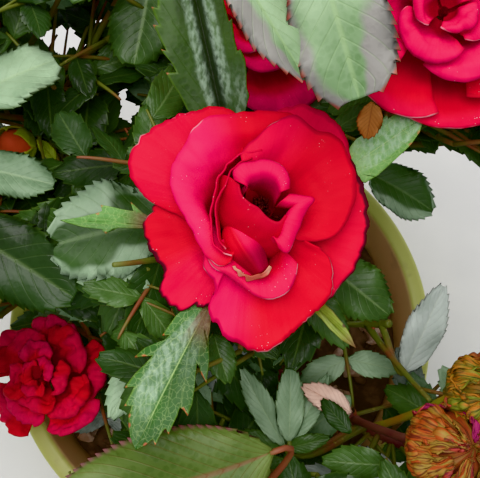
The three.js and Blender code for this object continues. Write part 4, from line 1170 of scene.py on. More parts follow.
def withered_finish(name, straw, rust, wine, plum):
    """A spent petal: straw and rust in streaks along it, wine red in its folds, and what is left of its
    own colour where the sheet carries a flush."""
    finish = Finish(name, straw, roughness=0.7, specular_ior_level=0.35)
    along, across, flush = (finish.fact(key) for key in ("petal_along", "petal_across", "flush"))
    streak = finish.streaks(across * 7, along * 1.6, flush * 4, 3.0)
    pleat = finish.streaks(across * 26, along * 3, flush * 4, 3.0)
    blotch = finish.grain(4.5, 3.0)
    colour = finish.mix((streak * 0.8 + blotch * 0.25).rise(0.44, 0.6), straw, rust)
    colour = finish.mix(pleat.rise(0.46, 0.62) * 0.85, colour, wine)
    colour = finish.mix(flush * blotch.rise(0.36, 0.5), colour, plum)
    colour = finish.mix(finish.fact("edge").rise(0.7, 0.1) * 0.5, colour, wine)
    return finish.done(colour, pleat * 0.7 + streak * 0.5, 0.6, Roughness=pleat * 0.3 + 0.5)


def bark_finish(name, rind, streak, spot, gloss):
    """A stem: streaks of a second colour along it and small raised spots."""
    finish = Finish(name, rind, roughness=gloss)
    streaks = finish.grain(5, 4.0, stretch=(1, 1, 0.25))
    spots = finish.dots(2.4).rise(0.28, 0.12) * finish.grain(6).rise(0.45, 0.6)
    colour = finish.mix(streaks.rise(0.4, 0.68), rind, streak)
    colour = finish.mix(spots * 0.7, colour, spot)
    return finish.done(colour, streaks * 0.6 + spots * 0.4, 0.35, Roughness=streaks * 0.3 + (gloss - 0.15))


def pot_finish():
    """Moulded plastic, yellow-green, scuffed and dusty, and pale inside below the rim: partly soil dust,
    partly painted light reflected off the soil.
    """
    finish = Finish("pot_plastic", (196, 198, 116), roughness=0.42)
    x, y, height = (finish.node("SeparateXYZ", inputs={0: finish.place()}, output=k) / MM for k in range(3))
    out = x.math("SQRT", x * x + y * y)
    wear, dust = finish.grain(22, 5.0), finish.grain(7, 5.0)
    colour = finish.mix(wear.rise(0.35, 0.7) * 0.4, (204, 206, 124), (168, 174, 92))
    # Pale inside the wall below the rim: partly soil dust, partly painted light reflected off the soil.
    within = (height * WALL_SLOPE + FOOT_RADIUS - out).rise(POT_WALL * 0.4, POT_WALL * 0.7)
    within = within * height.rise(POT_HEIGHT + 1, POT_HEIGHT - 2)
    colour = finish.mix(within * (dust * 0.3 + 0.7), colour, (252, 206, 168))
    colour = finish.mix(dust.rise(0.6, 0.75) * 0.3, colour, (140, 126, 84))
    return finish.done(colour, finish.grain(1.2) * 0.3 + wear * 0.7, 0.15, Roughness=wear * 0.25 + 0.3)


def plain_finish(name, first, second, size, gloss, depth=0.2, detail=4.0, low=0.35, high=0.65):
    """Two colours in blotches of one size, which go over from low to high, with relief of that size."""
    finish = Finish(name, first, roughness=gloss)
    blotch = finish.grain(size, detail)
    return finish.done(finish.mix(blotch.rise(low, high), first, second), blotch, depth)


DEEP_LEAF = leaf_finish("leaf_deep", (32, 48, 22), (48, 72, 36), (86, 106, 62), (74, 96, 48), gloss=0.42)
GREEN_LEAF = leaf_finish(
    "leaf_green", (52, 76, 36), (80, 108, 60), (118, 140, 92), (102, 124, 66), gloss=0.42
)
# The grey green: a glaucous tone that also carries a painted sheen of sky light.
GREY_SHEEN_LEAF = leaf_finish("leaf_grey", (118, 144, 112), (158, 182, 150), (160, 182, 144), (134, 154, 108))
# The edged green: its pale margin and the pale patches along it are a painted sheen of light.
EDGED_SHEEN_LEAF = leaf_finish(
    "leaf_edged", (46, 70, 34), (70, 98, 54), (100, 124, 80), (150, 170, 144), patch=(144, 166, 138),
    spread=0.5,
)
DRY_LEAF = leaf_finish(
    "leaf_dry", (206, 168, 150), (230, 202, 188), (180, 130, 110), (150, 110, 90), gloss=0.7
)
# The silver green: a pale tone that also carries a painted sheen of sky light.
SILVER_SHEEN_LEAF = leaf_finish("leaf_silver", (132, 144, 134), (174, 182, 176), (176, 184, 172), (134, 130, 116))
YOUNG_LEAF = leaf_finish(
    "leaf_young", (100, 130, 86), (146, 170, 134), (138, 164, 114), (136, 120, 104), patch=(140, 130, 134),
    spread=0.3, tooth=(186, 100, 88),
)
LONG_LEAF = leaf_finish(
    "leaf_long", (66, 88, 34), (108, 124, 68), (124, 62, 48), (120, 88, 80), veins=13, tooth=(138, 92, 96)
)
SEPAL_LEAF = leaf_finish(
    "sepal_leaf", (44, 88, 30), (76, 122, 54), (176, 200, 132), (122, 150, 70), veins=6,
    tooth=(190, 100, 70), lobed=1.0,
)
DARK_SEPAL = leaf_finish(
    "sepal_dark", (42, 66, 22), (74, 104, 42), (60, 80, 40), (104, 134, 56), veins=7, tooth=(176, 104, 84),
    lobed=1.0,
)
PALE_SEPAL = leaf_finish(
    "sepal_pale", (92, 138, 68), (140, 178, 112), (176, 200, 128), (120, 158, 70), veins=6, gloss=0.55,
    tooth=(170, 110, 70), lobed=1.0,
)
SLIM_SEPAL = leaf_finish(
    "sepal_slim", (112, 130, 48), (156, 162, 84), (120, 84, 42), (96, 60, 32), veins=9, gloss=0.55,
    tooth=(70, 36, 30), lobed=0.1,
)
BUD_LEAF = leaf_finish("bud_leaf", (164, 190, 58), (210, 220, 106), (186, 200, 84), (206, 180, 84), veins=6)
WITHERED_LEAF = leaf_finish(
    "leaf_withered", (150, 96, 52), (186, 128, 78), (120, 64, 44), (120, 66, 44), gloss=0.7
)
RED_PETAL = petal_finish("petal_red", (216, 6, 40), (234, 6, 94), (174, 6, 28))
DARK_PETAL = petal_finish("petal_dark", (224, 26, 40), (228, 34, 88), (130, 8, 24), (200, 110, 130), 0.6)
BUD_PETAL = petal_finish("petal_bud", (240, 104, 78), (242, 140, 100), (196, 50, 44), specks=0.4)
RUST_PETAL = withered_finish("petal_rust", (150, 124, 62), (166, 78, 42), (84, 34, 28), (160, 44, 104))
OLIVE_PETAL = withered_finish("petal_olive", (118, 126, 52), (170, 108, 46), (58, 54, 26), (130, 62, 40))
CREAM_PETAL = plain_finish("petal_dried", (204, 142, 122), (176, 84, 72), 2.5, 0.8)
OLD_BARK = bark_finish("bark_old", (112, 88, 66), (74, 56, 44), (148, 124, 96), 0.85)
RED_BARK = bark_finish("bark_red", (112, 64, 66), (148, 104, 92), (170, 124, 108), 0.6)
GREEN_BARK = bark_finish("stem_green", (104, 112, 52), (132, 78, 58), (150, 140, 80), 0.55)
STALK_GREEN = bark_finish("stalk_yellow", (168, 164, 60), (196, 120, 62), (180, 150, 80), 0.5)
THORN_RED = plain_finish("thorn_red", (122, 48, 44), (156, 92, 62), 2.0, 0.5)
POT_PLASTIC = pot_finish()
DARK_SOIL = plain_finish("soil_dark", (82, 66, 56), (128, 104, 88), 3, 0.95, 0.8, 6.0, 0.42, 0.7)
SOIL_CHIP = plain_finish("soil_chip", (190, 160, 142), (230, 206, 190), 2, 0.95, 0.8, 6.0, 0.42, 0.7)
STAMEN_BROWN = plain_finish("stamen_brown", (66, 16, 20), (98, 36, 32), 1.0, 0.7)


# The pieces. Each sub-part has its own function.
# The pot: the radius of the fan in its floor's middle, how high the step under its rim band is, how far
# its corners are rounded, and the points of a corner and of a whole turn.
FLOOR_MIDDLE = 9
BAND_STEP = 2
POT_CORNER = 1.9
CORNER_STEPS = 5
POT_SIDES = 144


def wall_radius(height):
    """The outside of the pot's wall."""
    return FOOT_RADIUS + WALL_SLOPE * height


def make_pot():
    """The pot's wall, rim band and floor, with its drain holes bored through: an outline of radius and
    height, turned about Z, whose ends meet the fans that close the floor's middle."""
    band = POT_HEIGHT - RIM_BAND
    under = band - BAND_STEP
    outline = rounded([
        (FLOOR_MIDDLE, 0), (FOOT_RADIUS, 0), (wall_radius(under), under), (RIM_RADIUS, band),
        (RIM_RADIUS, POT_HEIGHT), (RIM_RADIUS - RIM_WIDTH, POT_HEIGHT), (wall_radius(band) - POT_WALL, under),
        (wall_radius(POT_FLOOR) - POT_WALL, POT_FLOOR), (FLOOR_MIDDLE, POT_FLOOR),
    ], POT_CORNER)
    bag = Bag()
    bag.add(*closed_rings(round_sheet(outline[:, :1], full_turn(POT_SIDES), outline[:, 1:])))
    made = piece("pot_shell", bag, [POT_PLASTIC], ["pot"])
    for k in range(DRAIN_HOLES):
        at = aimed(360 * k / DRAIN_HOLES, 0) * DRAIN_HOLE_CIRCLE * MM
        bpy.ops.mesh.primitive_cylinder_add(
            vertices=24, radius=DRAIN_HOLE_RADIUS * MM, depth=4 * POT_FLOOR * MM, location=at
        )
        drill = bpy.context.object
        cut = made.modifiers.new("drain_hole", "BOOLEAN")
        cut.object, cut.operation, cut.solver = drill, "DIFFERENCE", "EXACT"
        bpy.context.view_layer.objects.active = made
        bpy.ops.object.modifier_apply(modifier=cut.name)
        bpy.data.objects.remove(drill)


def rounded(corners, radius):
    """An outline whose inner corners are quadratic arcs that start and end a radius from the corner."""
    corners = np.asarray(corners, float)
    out = [corners[:1]]
    for a, b, c in zip(corners[:-2], corners[1:-1], corners[2:]):
        reach = min(radius, np.linalg.norm(a - b) / 2.2, np.linalg.norm(c - b) / 2.2)
        arc = [b + unit(a - b) * reach, b, b + unit(c - b) * reach]
        out.append(bezier(arc, np.linspace(0, 1, CORNER_STEPS)))
    return np.concatenate(out + [corners[-1:]])


# The large pale chips on the soil: place, half length and azimuth.
BARK_CHIPS = [
    (42, -25, 6, 20), (58, 1, 6, 70), (48, -14, 4, -30), (-48, -35, 5, 100), (33, -34, 4, 40),
    (30, 12, 4, 10),
]

# The half widths of a chip from end to end as shares of its half length, how many lumps lie on the soil,
# the share of them that is pale, and the half widths of a lump in the same way.
BARK_CHIP_WIDTHS = np.array([0.2, 0.42, 0.52, 0.55, 0.55, 0.52, 0.46, 0.36, 0.15])
SOIL_LUMPS = 420
PALE_LUMPS = 0.45
LUMP_WIDTHS = np.array([0.45, 0.8, 0.9, 0.75, 0.4])


def make_soil():
    """A crumbly disc: its height over radius and angle is a low dome with ripples of three sizes, and its
    skirt goes down inside the pot. Lumps and chips lie on it and half in it."""
    edge = wall_radius(SOIL_TOP) - POT_WALL - 2 * SEAT_GAP
    radius = np.linspace(1.2, edge, 64)[::-1, None]
    angle = full_turn(220)[None, :]
    flat = round_sheet(radius, angle, 0)[..., :2]
    dome = SOIL_DOME * clamp01((edge - radius) / (edge - 2 * STUMP_RADIUS))
    crumbs = 0.9 * ripples(flat, 16, 3) + 0.7 * ripples(flat, 5, 4, 14) + 0.3 * ripples(flat, 2, 5, 18)
    top = round_sheet(radius, angle, SOIL_TOP - 0.8 + dome + crumbs)
    skirt = round_sheet(wall_radius(POT_FLOOR) - POT_WALL - 1, angle, POT_FLOOR + SEAT_GAP)
    bag = Bag()
    bag.add(*closed_rings(np.concatenate([skirt, top])))
    piece("soil_filling", bag, [DARK_SOIL], ["soil"])
    chips = Bag()
    rng = np.random.default_rng(8)
    for _ in range(SOIL_LUMPS):
        out, turn = edge * 0.96 * math.sqrt(rng.uniform(0.02, 1)), rng.uniform(0, 2 * math.pi)
        at = round_sheet(out, turn, 0)
        ground = top.reshape(-1, 3)[np.argmin(((top[..., :2] - at[:2]) ** 2).sum(-1)), 2]
        size = rng.gamma(3.0, 0.45) + 0.6
        way = unit(rng.normal(size=3) * (1, 1, 0.3))
        path = at + way * np.linspace(-size, size, 5)[:, None] + UP * (ground + size * 0.25)
        wide = size * LUMP_WIDTHS * rng.uniform(0.5, 0.9)
        chips.add(*tube(path, wide, 7), slot=int(rng.uniform() < PALE_LUMPS))
    for x, y, size, turn in BARK_CHIPS:
        path = np.array([x, y, SOIL_TOP + SOIL_DOME]) + aimed(turn, 6) * np.linspace(-size, size, 9)[:, None]
        chips.add(*tube(path, size * BARK_CHIP_WIDTHS, 14, lambda where: 0.5 * ripples(where, 4, 41)), slot=1)
    piece("soil_lumps", chips, [DARK_SOIL, SOIL_CHIP])


# Prickles: how many a cane and a leafy stem bear, their lengths, how deep they sit as a share of the
# stem's radius, and their radii from foot to tip as shares of their length.
CANE_PRICKLES = (9, 2.2, 4.2, 0.85)
STEM_PRICKLES = (12, 1.4, 2.6, 0.8)
PRICKLE_WIDTHS = np.array([0.42, 0.24, 0.1, 0.02])


def add_prickles(bag, shoot, low, high, prickles, rng, slot):
    """Prickles between two shares of a shoot's curve: small curved cones, each with its tip bent back."""
    count, shortest, longest, seated = prickles
    for k in range(count):
        at = rng.uniform(low, high)
        along = tangent(shoot.curve, at)
        out = unit(np.cross(along, rng.normal(size=3)))
        foot = bezier(shoot.curve, at) + out * radius_along(at) * seated
        length = rng.uniform(shortest, longest)
        path = [
            foot - out * 0.6, foot + out * length * 0.3, foot + out * length * 0.75 - along * length * 0.12,
            foot + out * length - along * length * 0.4,
        ]
        bag.add(*tube(path, length * PRICKLE_WIDTHS, 7), slot=slot)


# The woody foot's outline: shares of its height and of its radius.
STUMP_OUTLINE = ([0, 0.12, 0.25, 0.7, 1], [1.35, 1.15, 1, 0.86, 0.5])


def make_canes():
    """The woody foot with its stubs, the nine canes with their swollen nodes, and the prickles."""
    ground = SOIL_TOP + SOIL_DOME + SEAT_GAP
    old = Bag()
    bark = lambda where: 0.10 * ripples(where * (1, 1, 0.35), 3.2, 11) + 0.05 * ripples(where, 1.1, 12)
    rind = lambda where: 0.04 * ripples(where * (1, 1, 0.4), 2.6, 13) + 0.02 * ripples(where, 0.9, 14)
    share = np.linspace(0, 1, 26)
    wide = np.interp(share, *STUMP_OUTLINE) * STUMP_RADIUS
    path = UP * (ground - 1 + share * (STUMP_HEIGHT + 1))[:, None]
    old.add(*tube(path, wide, 40, bark))
    young = Bag()
    rng = np.random.default_rng(21)
    for shoot in SHOOT_LIST:
        out = aimed(shoot.row["turn"], shoot.row["rise"])
        stub = shoot.start + out * STUB_REACH * np.linspace(0, 1, 16)[:, None]
        old.add(*tube(stub, np.linspace(STUB_RADIUS, CANE_RADIUS * 1.06, 16), 18, bark))
        t = np.linspace(0, shoot.row["cane"], 60)
        node = 1 + 0.1 * np.exp(-(((t * 9) % 1 - 0.5) / 0.08) ** 2)
        young.add(*tube(bezier(shoot.curve, t), radius_along(t) * node, 20, rind))
        low, high = np.array([0.06, 0.96]) * shoot.row["cane"]
        add_prickles(young, shoot, low, high, CANE_PRICKLES, rng, 1)
    piece("foot_bark", old, [OLD_BARK], ["stem_foot"])
    canes = ["cane_" + shoot.name for shoot in SHOOT_LIST]
    piece("canes_bark", young, [RED_BARK, THORN_RED], canes)


# How the leaves of a shoot are dealt their greens, spray by spray: each one's share of them. The grey and
# silver greens are a glaucous tone that also carries a painted sheen of sky light.
TINTS = [DEEP_LEAF, GREEN_LEAF, GREY_SHEEN_LEAF, SILVER_SHEEN_LEAF]
TINT_SHARES = (0.5, 0.38, 0.1, 0.02)
OTHER_SHARES = {
    "front_right": (0.2, 0.42, 0.28, 0.1), "right": (0.3, 0.45, 0.2, 0.05), "back": (0.6, 0.34, 0.06, 0),
}


def make_foliage(shoot, seed):
    """One mass: its leafy stem, side twigs and leaf stalks, and its leaflets in their greens."""
    stems = Bag()
    cane, stem = shoot.row["cane"], shoot.row["stem"]
    t = np.linspace(cane, stem, 60)
    rind = lambda where: 0.05 * ripples(where, 1.6, 15)
    bark = 3 if shoot.name == "front_right" else 0
    stems.add(*tube(bezier(shoot.curve, t), radius_along(t), 14, rind), slot=bark)
    for path, (thick, thin) in shoot.twigs:
        stems.add(*tube(path, np.linspace(thick, thin, len(path)), 8, rind))
    for path, scale in shoot.stalks:
        bend = bezier([path[0], path[1] * 2 - (path[0] + path[2]) / 2, path[2]], np.linspace(0, 1, 8))
        stems.add(*tube(bend, np.linspace(1.0, 0.45, 8) * PETIOLE_RADIUS * scale**0.5, 6), slot=1)
    rng = np.random.default_rng(seed)
    add_prickles(stems, shoot, cane, stem, STEM_PRICKLES, rng, 2)
    piece("twigs_" + shoot.name, stems, [GREEN_BARK, GREEN_BARK, THORN_RED, RED_BARK])
    leaves = Bag()
    sprays = sorted({blade["leaf"] for blade in shoot.leaflets})
    shares = OTHER_SHARES.get(shoot.name, TINT_SHARES)
    tint = dict(zip(sprays, rng.choice(len(TINTS), len(sprays), p=shares)))
    sheets, s, c = blade_sheets(shoot.leaflets, teeth=7, columns=5, depth=0.1, seed=seed)
    layout = {key: np.broadcast_to(value, sheets.shape[:3]) for key, value in leaf_layout(s, c).items()}
    slots = np.array([tint[blade["leaf"]] for blade in shoot.leaflets])
    add_plates(leaves, sheets, LEAF_THICKNESS, slots, **layout)
    piece("leaves_" + shoot.name, leaves, TINTS, ["foliage_" + shoot.name])


def add_petal(bag, sheet, seed, flush=(0, 0, 0, 0), dry=0.0, slot=0, thickness=0.35, crumple=0.0, shaded=0.0):
    """A petal's sheet as a thin closed plate, crumpled by ripples along its normals, with what its finish
    reads: how far along and across, how much magenta, partly own colour and partly a painted sheen, the
    distance to the lip, how dried the lip is and how much painted shade the whole takes."""
    rows, columns = sheet.shape[:2]
    v, u = grid(rows, columns, 0)
    lump = ripples(sheet, 8, seed) * 0.22 + ripples(sheet, 3.4, seed + 1) * 0.06
    fold = crumple * (ripples(sheet, 6, seed + 2) + 0.45 * ripples(sheet, 2.6, seed + 3, 12))
    sheet = sheet + normals_of(sheet) * ((lump + fold) * smooth_step(0.1, 0.5, v))[..., None]
    steps = np.linalg.norm(np.diff(sheet, axis=0), axis=-1)
    edge = np.concatenate([np.cumsum(steps[::-1], 0)[::-1], np.zeros((1, columns))])
    low, high, start, strength = flush
    tinged = strength * window(u, low, high) * smooth_step(start - 0.12, start + 0.12, v)
    add_plates(
        bag, sheet[None], thickness, slot, petal_along=v, petal_across=u, flush=tinged, edge=edge, dry=dry,
        shaded=shaded,
    )


# Profiles of petals from claw to lip: shares of the lip's distance from the middle, and of its height.
OPEN_WALL = [(0, 0), (0.35, 0.15), (0.45, 0.75), (0.4, 1.1), (0.7, 1.12), (1, 1)]
STEEP_WALL = [(0, 0), (0.5, 0.1), (0.62, 0.6), (0.57, 0.95), (0.75, 1.06), (1, 1)]
CUPPED = [(0, 0), (0.7, 0.1), (1, 0.45), (0.97, 0.8), (1, 1)]
ROLLED = [(0, 0), (0.9, 0.05), (1.05, 0.4), (0.5, 0.85), (0.3, 1.15), (0.8, 1.12), (1, 1)]
LOW_FOLD = [(0, 0), (0.4, 0.1), (0.6, 0.5), (0.58, 0.9), (0.8, 1), (1, 1)]

# The large bloom's petals in its own frame: middle of the cup, profile, how crimped the lip is, the magenta
# flush, partly own colour and partly a painted sheen of light (from and to across, from along, how strong),
# how dried the edge is, and the lip.
OUTER, HOLE = (0.8, 4.6), (3.4, 7.6)
LARGE_PETALS = table(
    ("middle", "profile", "ruffle", "flush", "dry", "lip"),
    (OUTER, OPEN_WALL, 0.5, (0, 1, 0.7, 0.25), 0.3, [
        (3.1, 25.7, 7), (6, 27.8, 8), (9.4, 29, 8.5), (13, 29.2, 8.5), (15.7, 28.3, 8.5), (18.4, 26.5, 8.5),
        (21.1, 23.6, 8.5), (22.5, 20.3, 8), (23.5, 16.5, 7),
    ]),
    (OUTER, OPEN_WALL, 0.8, (0.2, 0.8, 0.6, 0.2), 0.2, [
        (-1.9, 25.7, 10), (-3.6, 28, 10), (-6.1, 28.7, 9.5), (-9.7, 28.6, 9), (-13.6, 27.8, 8.5),
        (-18.6, 26.1, 8), (-22.9, 23.4, 8), (-26.1, 19.8, 8), (-27.2, 16.5, 8), (-26.6, 13.4, 8),
        (-25, 10.5, 8), (-22.3, 7.8, 8), (-19.6, 5.9, 8), (-16.4, 4.8, 8), (-13.7, 3, 8),
    ]),
    (OUTER, OPEN_WALL, 1.6, (0.5, 1, 0.5, 0.3), 1.0, level(6.5,
        (-17.9, 6.2), (-21.8, 7.1), (-23.4, 4.6), (-23.8, 1.6), (-23.7, -1.1), (-22.3, -3.6), (-20.3, -5.8),
        (-19.6, -9.1), (-20.3, -11.9), (-19.8, -13.9), (-17.6, -15.9), (-14.8, -16.9), (-11.8, -16.5),
        (-9.1, -16), (-5.7, -14.4),
    )),
    (OUTER, OPEN_WALL, 0.8, (0.3, 1, 0.85, 0.15), 1.0, [
        (19.8, 20, 8), (22.7, 17.6, 8), (24.5, 14.4, 8), (25.9, 11.2, 8), (27, 6.7, 8), (27, 2.2, 8),
        (26.3, -1.9, 8), (24.7, -6.2, 8), (22.9, -9.1, 8.5), (20.6, -11.8, 8.5), (18.3, -14.3, 8.5),
        (15.2, -16.1, 8), (11.2, -16.6, 8),
    ]),
    (OUTER, OPEN_WALL, 1.0, (0, 0.4, 0.5, 0.8), 0.4, [
        (-10.6, -5, 12), (-9.7, -7.1, 11.5), (-8.2, -9.5, 11), (-7.5, -12, 11), (-8.4, -14.3, 10.5),
        (-9, -16.3, 10), (-8.3, -18.6, 9.5), (-6.1, -21.9, 9), (-2.5, -24.7, 8.5), (2.2, -26.3, 8.5),
        (5.2, -25.8, 8.5), (7.7, -24.1, 9), (10, -22.3, 9), (12.6, -19.6, 9.5), (15.5, -17.3, 10),
        (18.2, -14.2, 10), (18.6, -10.1, 10.5), (18.1, -5.6, 11), (15.8, -2.7, 12),
    ]),
    (OUTER, OPEN_WALL, 0.5, (0, 0.3, 0.6, 0.3), 0.3, [
        (-1.8, 17.9, 14.5), (0.8, 20.6, 14), (3.9, 23.3, 13.5), (7, 25.5, 13), (9.6, 26.4, 12.5),
        (12.1, 25.6, 12), (13.9, 23.8, 12), (18.3, 22.3, 11.5), (21, 20.2, 11), (22.4, 17.1, 11),
        (23.7, 14, 11), (23.9, 10, 11), (23, 5.5, 11), (21.4, 1.7, 11.5), (19.1, -0.2, 12),
        (15.5, -1.3, 12.5), (11.3, -1.3, 13), (9.1, -0.2, 14),
    ]),
    (OUTER, STEEP_WALL, 0.5, (0.3, 0.9, 0.5, 1.0), 0.1, [
        (11.5, 26.1, 10.5), (8.8, 27.4, 10.8), (5.3, 27.5, 11.2), (1.5, 27.5, 11.8), (-2.7, 27, 12.2),
        (-7.6, 26.5, 12.6), (-10.6, 24.9, 12.8), (-12.6, 22.7, 13), (-14.2, 19.7, 13), (-15.9, 17.2, 13),
        (-17, 14.4, 13), (-17.1, 10.9, 13), (-16.2, 8.2, 13), (-15.1, 5.8, 13), (-13.3, 2.9, 13),
        (-11.8, -0.4, 13), (-10.5, -3.2, 13), (-8.3, -5.7, 13), (-5.9, -6.8, 13), (-3.9, -5.9, 13.5),
    ]),
    (HOLE, CUPPED, 0.3, (0, 1, 0.8, 0.3), 0.1, level(15,
        (3, 18.5), (-0.1, 18.1), (-2.7, 16.8), (-4.9, 15.1), (-6.4, 12.9), (-7.3, 9.9), (-7.7, 6.6),
        (-8.2, 3.3), (-8.4, 0.1), (-7.8, -2.3), (-5.8, -4.1), (-3.6, -4.5),
    )),
    (HOLE, CUPPED, 0.2, (0, 1, 0.8, 0.2), 0.2, level(15.8,
        (0.8, 16.9), (-1.8, 15.6), (-4, 13.5), (-5.7, 10.7), (-6.6, 7.7), (-7.1, 4.6), (-7.1, 1.6),
        (-6.4, -1.2), (-4.9, -3),
    )),
    (HOLE, ROLLED, 0.3, (0, 1, 0.5, 0.7), 0.1, level(17,
        (-2.5, 11.9), (-2.7, 13.8), (-1.8, 15.1), (0.8, 15.8), (3.6, 16.2), (6.1, 15.7), (7.9, 14.2),
        (8.5, 12.3), (8.9, 10.1),
    )),
    ((3.2, 4.1), ROLLED, 0.2, (0, 1, 0.6, 0.6), 0.1, level(16.5,
        (8.9, 8.9), (11.5, 8.4), (14.1, 7.8), (12.6, 5.6), (11.3, 3), (10.4, 0.2), (9.4, -2.6), (8.3, -3.6),
        (6.6, -2.8),
    )),
    (OUTER, LOW_FOLD, 0.2, (0, 1, 0.75, 0.6), 0.4, level(13,
        (-9.4, -4.6), (-8.3, -6.8), (-5.2, -8.6), (-1.6, -11.2), (1.4, -13.4), (3.6, -14.1), (5.9, -14),
        (7.8, -13.2), (9.3, -11.7), (10.4, -9.2), (10.9, -6.4),
    )),
)


# The cup's front wall, between the dark middle and the tongue: outlines from its claw up to its lip.
CUP_WALL = [
    level(0.5, (-1, 8), (0.5, 6.5), (2, 6), (3.5, 6), (5, 6.5)),
    level(6, (-6.9, 13.5), (-7.4, 8), (-6.4, 2), (-4, -2.5), (0.5, -4.8), (5, -5.2), (9, -4), (11.5, 0)),
    level(12, (-5.9, 13.4), (-6.4, 8), (-5.2, 3), (-2.6, -0.6), (1, -2.4), (4.5, -2.8), (8, -2), (10.5, 1.5)),
    level(16, (-3.6, 12.4), (-3.6, 8.6), (-2, 5.2), (0.4, 2.8), (2.6, 1.4), (4.8, 0.7), (7.2, 0.8),
          (9.2, 3.2)),
    level(17.2, (-1.8, 11), (-1.2, 8.6), (0.3, 7.1), (2.2, 5.9), (3.3, 4.6), (4.6, 3.5), (6.5, 3),
          (7.8, 4.5)),
]

# The dried cream rim below the tongue: its outer and its inner outline.
DRIED_RIM = [
    [(-3.7, -6.9, 13.8), (-1.9, -8.9, 13.9), (0, -10, 14), (2, -9.8, 14), (4, -8.9, 13.9), (5.1, -7, 13.8)],
    [(-2.9, -6.6, 14.4), (-1.4, -7.9, 14.5), (0.2, -8.8, 14.6), (1.9, -8.6, 14.6), (3.4, -7.9, 14.5),
     (4.4, -6.6, 14.3)],
]

# The stamens: how many, and the radii of one from its foot to its thicker head.
STAMENS = 60
STAMEN_RADII = np.array([0.2, 0.18, 0.17, 0.16, 0.26, 0.42, 0.2])


def large_frame(head):
    """The large bloom's own frame: its axis, and across it the back-to-front and left-to-right ways."""
    back = unit(np.array([0, 1.0, 0]) - head.axis * head.axis[1])
    return np.stack([np.cross(back, head.axis), back, head.axis]), head.top


def make_stalk(bag, head, slot=0):
    """A flower's stalk and hip: a tube along its curve, swelling to the hip and closing in above it."""
    line = bezier(head.stalk, np.linspace(0, 1, 30))
    rise = np.linspace(0.1, HIP_REACH, 16)
    path = np.concatenate([line, head.foot + head.axis * (rise * head.hip)[:, None]])
    radius = [STALK_RADIUS, 0.55 * head.hip, 0.84 * head.hip, 0.7 * head.hip]
    swell = np.interp(rise, [0, 0.5, 1.1, HIP_REACH], radius)
    radii = np.r_[np.full(len(line), STALK_RADIUS), np.maximum(swell, STALK_RADIUS)]
    bag.add(*tube(path, radii, 16, lambda where: 0.04 * ripples(where, 2.2, 31)), slot=slot)
